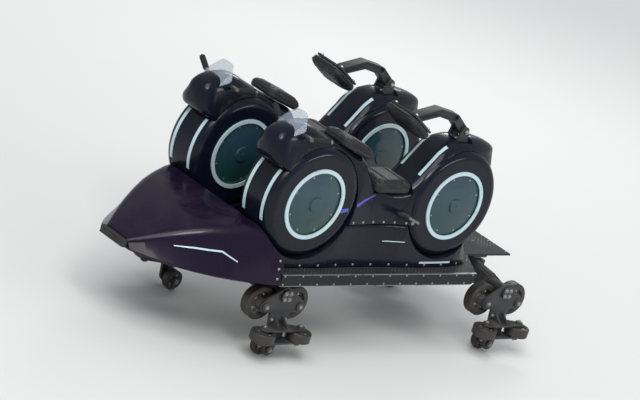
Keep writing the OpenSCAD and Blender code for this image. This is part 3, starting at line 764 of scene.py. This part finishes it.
def cord_mesh(points):
    """Sweeps a circle round the closed row of points, with its frame carried on from ring to ring."""
    shape = bmesh.new()
    rings = []
    across = None
    for i, point in enumerate(points):
        ahead = (points[(i + 1) % len(points)] - points[i - 1]).normalized()
        guess = across or ahead.orthogonal()
        across = (guess - ahead * guess.dot(ahead)).normalized()
        places = circle(point, across, ahead.cross(across), CORD_R, CORD_SIDES)
        rings.append([shape.verts.new(place) for place in places])
    skin(shape, rings, closed=True)
    mesh = mesh_of(shape, "cord")
    smooth(mesh)
    return mesh


def placed(name, mesh, finish, body="chassis"):
    """A finished mesh as an object that rides on a body."""
    give(mesh, finish)
    piece = add(name, mesh)
    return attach(piece, body)


def joined(name, meshes):
    """Several meshes as one."""
    shape = bmesh.new()
    for mesh in meshes:
        shape.from_mesh(mesh)
    return mesh_of(shape, name)


def tree_of(piece):
    shape = bmesh.new()
    shape.from_mesh(piece.data)
    tree = BVHTree.FromBMesh(shape)
    shape.free()
    return tree


def round_rectangle(length, width, radius):
    """Points (u, v) round a rectangle with round corners."""
    points = []
    for quarter, (su, sv) in enumerate(((1, 1), (-1, 1), (-1, -1), (1, -1))):
        for k in range(CORNER_STEPS + 1):
            angle = radians(90 * quarter + 90 * k / CORNER_STEPS)
            points.append((su * (length / 2 - radius) + radius * cos(angle),
                           sv * (width / 2 - radius) + radius * sin(angle)))
    return points


def piping(soft, pad, beds):
    tree = tree_of(soft)
    height = pad.depth * CORD_HEIGHT * pad.face
    cords = []
    for bed in beds:
        points = []
        for u, v in round_rectangle(pad.length, pad.width, CORNER_R):
            outside = bed.at(u * 1.4, v * 1.4, height)
            hit = tree.ray_cast(outside, bed.at(u * 0.3, v * 0.3, height) - outside)[0]
            if hit:
                points.append(hit)
        cords.append(cord_mesh(points))
    return joined(pad.node + "_piping", cords)


for node, (soft, pad, beds) in soft_pads.items():
    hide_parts(node)
    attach(soft, pad.body)
    placed(pad.node + "_piping", piping(soft, pad, beds), GRIP, pad.body)
print("piping:", len(soft_pads), "pieces")

# %% [markdown]
# ## Fixings by Geometry Nodes
# Bolts, rivets, studs, ribs and weld beads repeat round circles and along edges. Bare points go in, each
# with the direction that it faces. A Geometry Nodes tree puts a head on every point, and the realized
# result comes out as one plain mesh for each body.


# %% Recipes
TURN_SEED = 7


class Recipe(Board):
    """A Geometry Nodes tree with named inputs for its sizes."""

    def __init__(self, name, **sizes):
        super().__init__(bpy.data.node_groups.new(name, "GeometryNodeTree"))
        face = self.tree.interface
        face.new_socket("Geometry", in_out="INPUT", socket_type="NodeSocketGeometry")
        face.new_socket("Material", in_out="INPUT", socket_type="NodeSocketMaterial")
        for key, size in sizes.items():
            face.new_socket(key, in_out="INPUT", socket_type="NodeSocketFloat").default_value = size
        face.new_socket("Geometry", in_out="OUTPUT", socket_type="NodeSocketGeometry")
        self.entry = self.tree.nodes.new("NodeGroupInput")

    def given(self, key):
        return Wire(self, self.entry.outputs[key])

    def upward(self, z):
        return self.node("ShaderNodeCombineXYZ", {2: z})

    def drum(self, sides, radius, height, lift=0.0):
        """An upright prism whose foot is at a lift."""
        prism = self.node("GeometryNodeMeshCylinder", {0: sides, 3: radius, 4: height}, fill_type="NGON")
        return self.node("GeometryNodeTransform", {0: prism, 1: self.upward(height * 0.5 + lift)})

    def cone(self, sides, foot, top, height, lift):
        tapered = self.node("GeometryNodeMeshCone", {0: sides, 3: top, 4: foot, 5: height}, fill_type="NGON")
        return self.node("GeometryNodeTransform", {0: tapered, 1: self.upward(lift)})

    def on_points(self, head):
        """A head on each point, along its outward direction, turned about it by a seeded angle."""
        outward = self.node("GeometryNodeInputNamedAttribute", {0: "outward"}, data_type="FLOAT_VECTOR")
        stand = self.node("FunctionNodeAlignRotationToVector", {2: outward}, axis="Z")
        heads = self.node("GeometryNodeInstanceOnPoints", {0: self.given("Geometry"), 2: head, 5: stand})
        angle = self.node("FunctionNodeRandomValue", {3: 2 * pi, 8: TURN_SEED}, data_type="FLOAT")
        return self.node("GeometryNodeRotateInstances", {0: heads, 2: self.upward(angle)})

    def along_lines(self, bead, pitch):
        """A bead at each step of a pitch along the lines, turned with them."""
        curve = self.node("GeometryNodeMeshToCurve", {0: self.given("Geometry")})
        steps = self.node("GeometryNodeCurveToPoints", {0: curve, 2: pitch}, mode="LENGTH")
        turns = Wire(self, steps.socket.node.outputs[3])
        return self.node("GeometryNodeInstanceOnPoints", {0: steps, 2: bead, 5: turns})

    def ends_with(self, geometry):
        plain = self.node("GeometryNodeRealizeInstances", {0: geometry})
        dressed = self.node("GeometryNodeSetMaterial", {0: plain, 2: self.given("Material")})
        self.node("NodeGroupOutput", {0: dressed}, out=None)
        return self

    def cook(self, name, body, material, points=(), lines=(), **sizes):
        """Runs the tree on points [place, direction] or on lines, and gives one plain mesh."""
        places = [place for place, _ in points] or [place for line in lines for place in line]
        edges, start = [], 0
        for line in lines:
            edges += [(start + k, start + k + 1) for k in range(len(line) - 1)]
            start += len(line)
        seeds = bpy.data.meshes.new(name)
        seeds.from_pydata(places, edges, [])
        if points:
            outward = seeds.attributes.new("outward", "FLOAT_VECTOR", "POINT")
            outward.data.foreach_set("vector", [c for _, direction in points for c in direction])
        piece = add(name, seeds)
        modifier = piece.modifiers.new(name, "NODES")
        modifier.node_group = self.tree
        chosen = {"Material": material, **sizes}
        for item in self.tree.interface.items_tree:
            if item.in_out == "INPUT" and item.name in chosen:
                modifier[item.identifier] = chosen[item.name]
        baked(piece)
        if "outward" in piece.data.attributes:
            piece.data.attributes.remove(piece.data.attributes["outward"])
        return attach(piece, body)


def hex_bolt_recipe():
    """One size for every nut and bolt: a washer, a chamfered head and a bit of thread."""
    recipe = Recipe("hex_bolt", Head_Radius=0.011, Head_Height=0.008, Washer_Radius=0.015,
                    Washer_Height=0.002)
    head_r, head_h = recipe.given("Head_Radius"), recipe.given("Head_Height")
    washer_h = recipe.given("Washer_Height")
    washer = recipe.drum(20, recipe.given("Washer_Radius"), washer_h)
    flats = recipe.drum(6, head_r, head_h * 0.8, washer_h)
    chamfer = recipe.cone(6, head_r, head_r * 0.86, head_h * 0.2, washer_h + head_h * 0.8)
    thread = recipe.drum(12, head_r * 0.52, head_h * 0.25, washer_h + head_h)
    head = recipe.node("GeometryNodeJoinGeometry", {0: [washer, flats, chamfer, thread]})
    return recipe.ends_with(recipe.on_points(head))


def rivet_recipe():
    """A dome that stands on a thin rim."""
    recipe = Recipe("rivet", Radius=0.006, Height=0.003)
    radius, height = recipe.given("Radius"), recipe.given("Height")
    ball = recipe.node("GeometryNodeMeshUVSphere", {0: 14, 1: 8, 2: radius})
    squash = recipe.node("ShaderNodeCombineXYZ", {0: 1.0, 1: 1.0, 2: height / radius})
    dome = recipe.node("GeometryNodeTransform", {0: ball, 3: squash})
    smooth_dome = recipe.node("GeometryNodeSetShadeSmooth", {0: dome})
    rim = recipe.drum(16, radius * 1.12, height * 0.25)
    head = recipe.node("GeometryNodeJoinGeometry", {0: [smooth_dome, rim]})
    return recipe.ends_with(recipe.on_points(head))


def bead_recipe():
    """The overlapping ripples of a weld, or the stitches of a seam when the beads are long and apart."""
    recipe = Recipe("bead", Radius=0.004, Length=0.004, Pitch=0.003)
    ball = recipe.node("GeometryNodeMeshIcoSphere", {0: 1.0, 1: 1})
    radius = recipe.given("Radius")
    shape = recipe.node("ShaderNodeCombineXYZ", {0: radius, 1: radius, 2: recipe.given("Length")})
    bead = recipe.node("GeometryNodeTransform", {0: ball, 3: shape})
    smooth_bead = recipe.node("GeometryNodeSetShadeSmooth", {0: bead})
    return recipe.ends_with(recipe.along_lines(smooth_bead, recipe.given("Pitch")))


HEX_BOLT = hex_bolt_recipe()
RIVET = rivet_recipe()
BEAD = bead_recipe()
print("recipes:", HEX_BOLT.tree.name, RIVET.tree.name, BEAD.tree.name)

# %% [markdown]
# ## Bolts on the running gear
# The pins of the wheels end in nuts, the wheels' hubs are bolted to their treads, and the end caps of the
# axles and the blocks under the frame are bolted on. Every place is worked out from a joint's pin, so a
# bolt sits where the CAD model has the pin's head.

# %% Nuts and bolts of the carriers and wheels
# Steps from a wheel's pin to the faces that its nuts sit on.
HEAD_OUT, HEAD_IN = 0.0945, 0.0895
SIDE_HEAD = 0.060
UPSTOP_BOSS = 0.045
# The carrier's outer plate and its bolts (x, z), from the upstop wheel's pin.
PLATE_OUT = HEAD_OUT - 0.012
PLATE_BOLTS = ((0.056, 0.205), (-0.056, 0.205), (0.020, 0.052), (-0.020, 0.052))
# Each kind of wheel: radius of its ring of bolts, half the web's thickness and the number of bolts.
WEBS = {"road": (0.057, 0.011, 5), "side": (0.042, 0.010, 6), "upstop": (0.037, 0.009, 5)}
WEB_START = radians(36)


def ring_of(centre, axis, radius, count, start=0.0):
    """Points round an axis, all facing along it."""
    across = axis.orthogonal().normalized() if abs(axis.y) < 0.5 else Vector((1, 0, 0))
    return [(place, axis) for place in circle(centre, across, axis.cross(across), radius, count, start)]


def carrier_bolts(corner, hand):
    out = LEFT * hand
    nuts, small = [], []
    for row in ("fore", "aft"):
        road, side = PIN[f"road_wheel_{corner}_{row}_spin"], PIN[f"side_wheel_{corner}_{row}_spin"]
        nuts += [(road + out * HEAD_OUT, out), (road - out * HEAD_IN, -out)]
        small += [(side + UP * SIDE_HEAD, UP), (side - UP * SIDE_HEAD, -UP)]
    upstop = PIN[f"upstop_wheel_{corner}_spin"]
    nuts += [(upstop + out * HEAD_OUT, out), (upstop - out * UPSTOP_BOSS, -out)]
    small += [(upstop + out * PLATE_OUT + Vector((x, 0, z)), out) for x, z in PLATE_BOLTS]
    HEX_BOLT.cook(f"pin_nuts_{corner}", f"carrier_{corner}", BOLT, nuts)
    HEX_BOLT.cook(f"plate_bolts_{corner}", f"carrier_{corner}", BOLT, small)


def wheel_bolts(joint, kind):
    """Bolts on both faces of a wheel's web, between its holes."""
    radius, face, count = WEBS[kind]
    axis = UP if kind == "side" else LEFT
    body = joint.removesuffix("_spin")
    points = []
    for way in (axis, -axis):
        points += ring_of(PIN[joint] + way * face, way, radius, count, WEB_START)
    HEX_BOLT.cook(f"web_bolts_{body}", body, BOLT, points)


for corner, (_, hand) in CORNERS.items():
    carrier_bolts(corner, hand)
for joint in PIN:
    if joint.endswith("_spin"):
        wheel_bolts(joint, joint.split("_")[0])

# %% Bolts of the axles, brackets, restraints and fin
STUB_CAP, CAP_RING = 0.0975, 0.028
BLOCK_FOOT = PIN["carrier_front_left_rock"].z - 0.060
BLOCK_X, BLOCK_Y = 0.070, 0.088
BRACKET_TOP = DRUM.z + 0.402
BRACKET_X, BRACKET_Y = 0.038, 0.022
HINGE_END = 0.062
HEAD_PLATE_OUT = 0.0443
FIN_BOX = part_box("brake_fin")
FIN_BOLTS, FIN_MARGIN, FIN_DROP = 6, 0.14, 0.022

chassis_bolts, hinge_nuts = [], []
for corner, (x, hand) in CORNERS.items():
    out = LEFT * hand
    cap = PIN[f"carrier_{corner}_rock"] + out * STUB_CAP
    chassis_bolts += ring_of(cap, out, CAP_RING, 4, radians(45))
    chassis_bolts += [(Vector((x + step, hand * BLOCK_Y, BLOCK_FOOT)), -UP) for step in (BLOCK_X, -BLOCK_X)]
for side in SIDES:
    hinge = PIN[f"restraint_{side}_swing"]
    hinge_nuts += [(hinge + way * HINGE_END, way) for way in (LEFT, -LEFT)]
    for dx in (BRACKET_X, -BRACKET_X):
        for dy in (BRACKET_Y, -BRACKET_Y):
            chassis_bolts.append((Vector((hinge.x + dx, hinge.y + dy, BRACKET_TOP)), UP))
    bed = Bed(middle(f"restraint_pad_{side}"), BACK_SLOPE)
    plate_bolts = [(bed.at(u, v, HEAD_PLATE_OUT), bed.out) for u in (-0.088, 0.078) for v in (-0.098, 0.098)]
    HEX_BOLT.cook(f"head_plate_bolts_{side}", f"restraint_{side}", BOLT, plate_bolts)
for k in range(FIN_BOLTS):
    x = FIN_BOX[0].x + FIN_MARGIN + (FIN_BOX[1].x - FIN_BOX[0].x - 2 * FIN_MARGIN) * k / (FIN_BOLTS - 1)
    for hand in SIDES.values():
        chassis_bolts.append((Vector((x, hand * FIN_BOX[1].y, FIN_BOX[1].z - FIN_DROP)), LEFT * hand))
HEX_BOLT.cook("chassis_bolts", "chassis", BOLT, chassis_bolts)
HEX_BOLT.cook("hinge_nuts", "chassis", BOLT, hinge_nuts)
print("chassis bolts:", len(chassis_bolts))

# %% [markdown]
# ## Fasteners of the covers and the deck
# Their places on curved covers are found with a ray from outside, which also gives the direction of the
# surface, so each head lies flat on it.

# %% Rivets and cover screws
COVER = {cover.name.removesuffix("_cover"): cover for cover in covers}
TREES = {name: tree_of(cover) for name, cover in COVER.items()}


def on_cover(name, x, y, z, direction):
    """Where a ray meets a cover, and the way its surface faces there."""
    origin = Vector((x, y, z)) - direction * 2
    hit, normal = TREES[name].ray_cast(origin, direction)[:2]
    return (hit, normal) if hit else None


def bike_point(x_rel, z_rel):
    return DRUM.x + x_rel, DRUM.z + z_rel


def spaced(first, last, pitch):
    count = max(1, round(abs(last - first) / pitch))
    return [first + (last - first) * k / count for k in range(count + 1)]


# Screws on both sides of each bike: the cover, their x and their z, from the front drum's axis.
SHELL_SCREWS = (
    ("body_shell", spaced(-0.375, -0.835, 0.092), -0.122),
    ("front_cowl", [-0.018], 0.378),
    ("lower_fairing", spaced(0.12, -1.42, 0.148), -0.408),
)
NOSE_EDGE = 0.03
NOSE_TOP_Y = spaced(-0.14, 0.14, 0.07)
NOSE_SIDE_Z = (0.58, 0.64, 0.69)
SKIRT_PITCH, DECK_PITCH, END_MARGIN = 0.15, 0.14, 0.02
DECK_ROW_Y = 0.128
DISC_FACE, DISC_RING = 0.1467, 0.186


def cover_fasteners():
    found = []
    for side, hand in SIDES.items():
        for way in (1, -1):
            for stem, xs, z_rel in SHELL_SCREWS:
                for x_rel in xs:
                    x, z = bike_point(x_rel, z_rel)
                    found.append(on_cover(f"{stem}_{side}", x, hand * BIKE_Y, z, LEFT * -way))
    back_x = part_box("nose_cowl")[0].x + NOSE_EDGE
    found += [on_cover("nose_cowl", back_x, y, 1.0, -UP) for y in NOSE_TOP_Y]
    for hand in SIDES.values():
        found += [on_cover("nose_cowl", back_x, 0, z, LEFT * -hand) for z in NOSE_SIDE_Z]
    return [pair for pair in found if pair]


def flat_rivets():
    low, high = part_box("side_skirts")
    deck_low, deck_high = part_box("deck_plate")
    rows = []
    for hand in SIDES.values():
        for z, first in ((high.z - 0.012, low.x + 0.03), (low.z + 0.014, low.x + 0.09)):
            xs = spaced(first, high.x - END_MARGIN, SKIRT_PITCH)
            rows += [(Vector((x, hand * high.y, z)), LEFT * hand) for x in xs]
        xs = spaced(deck_high.x - END_MARGIN, deck_low.x + END_MARGIN, DECK_PITCH)
        rows += [(Vector((x, hand * DECK_ROW_Y, deck_high.z)), UP) for x in xs]
    rows += [(Vector((deck_low.x + 0.018, y, deck_high.z)), UP) for y in spaced(-0.3, 0.3, 0.12)]
    return rows


def disc_screws():
    heads = []
    for hand in SIDES.values():
        for x in (DRUM.x, REAR_DRUM.x):
            for way in (LEFT, -LEFT):
                centre = Vector((x, hand * BIKE_Y, DRUM.z)) + way * DISC_FACE
                heads += ring_of(centre, way, DISC_RING, 8, radians(22.5))
    return heads


RIVET.cook("cover_fasteners", "chassis", BOLT, cover_fasteners(), Radius=0.0075, Height=0.0035)
RIVET.cook("skirt_and_deck_rivets", "chassis", BOLT, flat_rivets(), Radius=0.0055, Height=0.0028)
RIVET.cook("disc_screws", "chassis", BOLT, disc_screws(), Radius=0.006, Height=0.003)
print("fasteners on covers, skirts, deck and discs")

# %% [markdown]
# ## Stripes, thin trims and painted highlights
# Some flat strips lie on a curved cover: a painted highlight, the blue-violet streak of reflected light from
# each front drum onto the body; two pale lines along the fairing, the upper one a painted highlight; two pale
# stripes over each rear arch; and a painted pale highlight line on each side of the nose. Each is a path seen
# from the side, or an arc about a rear drum, that rays drop onto the cover.


# %% Strips on covers
BAND_PROUD, BAND_SUNK = 0.0016, 0.002


def along_path(path, steps):
    """Points (x, z, width) at even steps along a path of such points."""
    lengths = [math.dist(a[:2], b[:2]) for a, b in zip(path, path[1:])]
    points = []
    for k in range(steps + 1):
        rest = sum(lengths) * k / steps
        leg = 0
        while leg < len(lengths) - 1 and rest > lengths[leg]:
            rest -= lengths[leg]
            leg += 1
        share = rest / lengths[leg]
        points.append([a + (b - a) * share for a, b in zip(path[leg], path[leg + 1])])
    return points


def band_mesh(tree, rows):
    """A thin band where rays meet a cover. Each row has the start of its middle ray, the rays' direction
    and the step from the middle ray to the next one beside it."""
    shape = bmesh.new()
    rings = []
    for start, inward, beside in rows:
        faces, backs = [], []
        for share in (-1, 0, 1):
            hit, normal = tree.ray_cast(start + beside * share, inward)[:2]
            if hit:
                faces.append(hit + normal * BAND_PROUD)
                backs.append(hit - normal * BAND_SUNK)
        if len(faces) == 3:
            rings.append([shape.verts.new(place) for place in faces + backs[::-1]])
    skin(shape, rings, closed=False)
    return mesh_of(shape, "strip")


def strip_mesh(tree, path, way, steps=36):
    """A strip on the side of a cover that faces way (1 left, -1 right)."""
    row = along_path(path, steps)
    rays = []
    for k, (x, z, width) in enumerate(row):
        before, after = row[max(k - 1, 0)], row[min(k + 1, steps)]
        ahead = Vector((after[0] - before[0], 0, after[1] - before[1])).normalized()
        rays.append((Vector((x, way * 3, z)), LEFT * -way, Vector((-ahead.z, 0, ahead.x)) * width / 2))
    return band_mesh(tree, rays)


def arch_mesh(tree, y):
    """A stripe over the arch of the rear drum, between two angles above its level front."""
    axis = Vector((REAR_DRUM.x, y, DRUM.z))
    first, last = radians(ARCH_FROM), radians(ARCH_TO)
    rays = []
    for angle in spaced(first, last, radians(ARCH_TO - ARCH_FROM) / ARCH_STEPS):
        out = Vector((cos(angle), 0, sin(angle)))
        rays.append((axis + out * 2, -out, LEFT * (ARCH_STRIPE_WIDTH / 2)))
    return band_mesh(tree, rays)


def from_bike(path):
    return [(*bike_point(x, z), width) for x, z, width in path]


# Painted highlight: the blue-violet streak of reflected light, from each front drum onto the body.
HIGHLIGHT_ON_DRUM = [(-0.236, -0.047, 0.026), (-0.300, -0.036, 0.024)]
HIGHLIGHT_ON_BODY = [(-0.372, -0.014, 0.022), (-0.430, 0.016, 0.016), (-0.530, 0.050, 0.005)]
# Painted highlight: a pale line of light along an edge of the fairing. The line along the fairing's foot is a
# pale trim.
FAIRING_HIGHLIGHT = [(-0.700, -0.255, 0.005), (-0.885, -0.255, 0.005)]
FAIRING_FOOT = [(-1.060, -0.392, 0.012), (-1.340, -0.392, 0.012)]
ARCH_STRIPE_Y, ARCH_STRIPE_WIDTH = 0.085, 0.020
ARCH_FROM, ARCH_TO, ARCH_STEPS = 28, 66, 30
# Painted highlight: a pale line of light along the crease of the nose's flank.
NOSE_HIGHLIGHT = [(0.460, -0.395, 0.006), (0.550, -0.355, 0.010), (0.700, -0.372, 0.009), (0.800, -0.390, 0.004)]

# Painted highlights here: the blue-violet streaks, the upper fairing line and the nose line. The fairing's
# foot line and the arch stripes are pale trims.
highlight_streaks, trim_and_highlight_strips = [], []
for side, hand in SIDES.items():
    drum_tree = tree_of(frame["nodes"][f"front_drum_{side}"])
    body_tree, fairing_tree = TREES[f"body_shell_{side}"], TREES[f"lower_fairing_{side}"]
    for way in (1, -1):
        highlight_streaks.append(strip_mesh(drum_tree, from_bike(HIGHLIGHT_ON_DRUM), way, steps=10))
        highlight_streaks.append(strip_mesh(body_tree, from_bike(HIGHLIGHT_ON_BODY), way))
        trim_and_highlight_strips.append(arch_mesh(body_tree, hand * BIKE_Y + way * ARCH_STRIPE_Y))
        trim_and_highlight_strips.append(strip_mesh(fairing_tree, from_bike(FAIRING_HIGHLIGHT), way))
        trim_and_highlight_strips.append(strip_mesh(fairing_tree, from_bike(FAIRING_FOOT), way))
for way in (1, -1):
    trim_and_highlight_strips.append(strip_mesh(TREES["nose_cowl"], from_bike(NOSE_HIGHLIGHT), way))
# The streaks are painted highlights; the pale strips are real trims and painted highlight lines together.
placed("highlight_streaks", joined("highlight_streaks", highlight_streaks), HIGHLIGHT_STREAK)
placed("trim_and_highlight_strips", joined("trim_and_highlight_strips", trim_and_highlight_strips), PALE)
print("strips:", len(highlight_streaks), "blue-violet and", len(trim_and_highlight_strips), "pale")

# %% [markdown]
# ## Grips, foot rests, welds and stitches
# A grip has moulded ribs, a foot rest has raised studs, and the steelwork is welded where its members meet.
# The pads are sewn along their piping. All but the studs are beads or rings along a line.


# %% Ribs and studs
def rib_recipe():
    recipe = Recipe("rib", Ring_Radius=0.018, Rib_Radius=0.0012, Pitch=0.006)
    path = recipe.node("GeometryNodeCurvePrimitiveCircle", {0: 24, 4: recipe.given("Ring_Radius")})
    profile = recipe.node("GeometryNodeCurvePrimitiveCircle", {0: 8, 4: recipe.given("Rib_Radius")})
    ring = recipe.node("GeometryNodeCurveToMesh", {0: path, 1: profile})
    smooth_ring = recipe.node("GeometryNodeSetShadeSmooth", {0: ring})
    return recipe.ends_with(recipe.along_lines(smooth_ring, recipe.given("Pitch")))


RIB = rib_recipe()
BAR_MIDDLE = Vector((0.200, 0, 0.420))
BAR_BEND = 0.150
GRIP_FROM, GRIP_TO = 0.024, 0.136
FOOT = Bed(Vector((DRUM.x - 0.770, 0, DRUM.z - 0.070)), 20)
FOOT_Y, FOOT_TOP = 0.220, 0.023


def grip_lines():
    lines, plugs = [], []
    for side_y in (BIKE_Y, -BIKE_Y):
        for hand in (1, -1):
            bend = Vector((DRUM.x, side_y, DRUM.z)) + BAR_MIDDLE + LEFT * (hand * BAR_BEND)
            swept = Vector((-0.309, hand * 0.894, 0.325)).normalized()
            lines.append([bend + swept * (GRIP_FROM + 0.008), bend + swept * (GRIP_TO - 0.006)])
            plugs.append((bend + swept * (GRIP_TO + 0.004), swept))
    return lines, plugs


def flange_line(start, end):
    """A short line before a grip's first rib."""
    ahead = (end - start).normalized()
    return [start - ahead * 0.007, start - ahead * 0.004]


lines, plugs = grip_lines()
RIB.cook("grip_ribs", "chassis", GRIP, lines=lines)
RIB.cook("grip_flanges", "chassis", GRIP, lines=[flange_line(*line) for line in lines], Pitch=0.01)
RIVET.cook("bar_plugs", "chassis", BAR, plugs, Radius=0.0125, Height=0.006)
studs = []
for side_y in (BIKE_Y, -BIKE_Y):
    for hand in (1, -1):
        for u in spaced(-0.050, 0.040, 0.018):
            for v in spaced(-0.032, 0.032, 0.016):
                studs.append((FOOT.at(u, side_y + hand * FOOT_Y + v, FOOT_TOP), FOOT.out))
RIVET.cook("foot_rest_studs", "chassis", BAR, studs, Radius=0.0040, Height=0.0032)
print("grips:", len(lines), "foot rest studs:", len(studs))


# %% Welds
OUTER_PLATE_Y = 0.5328
SHELF_WELDS = ((0.052, 0.2385), (0.044, 0.1415))
UNDER_FRAME = DRUM.z - 0.510
MEMBER_X = (FRONT_X + 0.095, FRONT_X - 0.605, FRONT_X - 1.500)
MEMBER_Y = (0.090, 0.325, 0.405)
MEMBER_WIDTH, MEMBER_HEIGHT = 0.070, 0.066
SHOULDER_Y, SHOULDER_R, SHOULDER_STEPS = 0.3595, 0.0555, 32
FIN_WELD_MARGIN = 0.1


def carrier_welds(x, hand):
    """Beads between a carrier's shelves and its outer plate."""
    y = hand * OUTER_PLATE_Y
    return [[Vector((x - half, y, z)), Vector((x + half, y, z))] for half, z in SHELF_WELDS]


def frame_welds():
    """Three sides of each joint between the cross members and the long ones."""
    lines = []
    up = UP * MEMBER_HEIGHT
    for x in MEMBER_X:
        for y in MEMBER_Y:
            for hand in (1, -1):
                rear, front = [Vector((end, hand * y, UNDER_FRAME)) for end in (x, x + MEMBER_WIDTH)]
                lines += [[rear, front], [rear, rear + up], [front, front + up]]
    return lines


def shoulder_weld(x, hand):
    """A closed ring round an axle's shoulder."""
    centre = Vector((x, hand * SHOULDER_Y, PIN["carrier_front_left_rock"].z))
    points = [place for place, _ in ring_of(centre, LEFT * hand, SHOULDER_R, SHOULDER_STEPS)]
    return points + points[:1]


def fin_weld(hand):
    low, high = FIN_BOX
    return [Vector((x, hand * high.y, high.z)) for x in (low.x + FIN_WELD_MARGIN, high.x - FIN_WELD_MARGIN)]


for corner, (x, hand) in CORNERS.items():
    BEAD.cook(f"carrier_welds_{corner}", f"carrier_{corner}", CARRIER, lines=carrier_welds(x, hand))
chassis_welds = frame_welds() + [shoulder_weld(x, hand) for x, hand in CORNERS.values()]
chassis_welds += [fin_weld(hand) for hand in SIDES.values()]
BEAD.cook("chassis_welds", "chassis", CHASSIS, lines=chassis_welds)
print("welds along", len(chassis_welds) + len(SHELF_WELDS) * len(CORNERS), "lines")


# %% Stitches
SEAM_INSET, SEAM_CORNER = 0.018, 0.04
SEAM_BESIDE = 0.0065


def stitch_lines(soft, pad, beds):
    """Rows beside the piping and beside each channel, on the face that people touch."""
    tree = tree_of(soft)
    across = spaced(-pad.width / 2 + 0.03, pad.width / 2 - 0.03, 0.01)
    outline = round_rectangle(pad.length - 2 * SEAM_INSET, pad.width - 2 * SEAM_INSET, SEAM_CORNER)
    flat = [outline + outline[:1]]
    for line in pad.channels:
        flat += [[(line + beside, v) for v in across] for beside in (-SEAM_BESIDE, SEAM_BESIDE)]
    rows = []
    for bed in beds:
        for row in flat:
            hits = [tree.ray_cast(bed.at(u, v, pad.face * 0.2), bed.out * -pad.face)[0] for u, v in row]
            rows.append([hit for hit in hits if hit])
    return rows


for soft, pad, beds in soft_pads.values():
    BEAD.cook(pad.node + "_stitches", pad.body, THREAD, lines=stitch_lines(soft, pad, beds), Radius=0.0008,
              Length=0.0021, Pitch=0.0056)
print("stitches on", len(soft_pads), "pads")
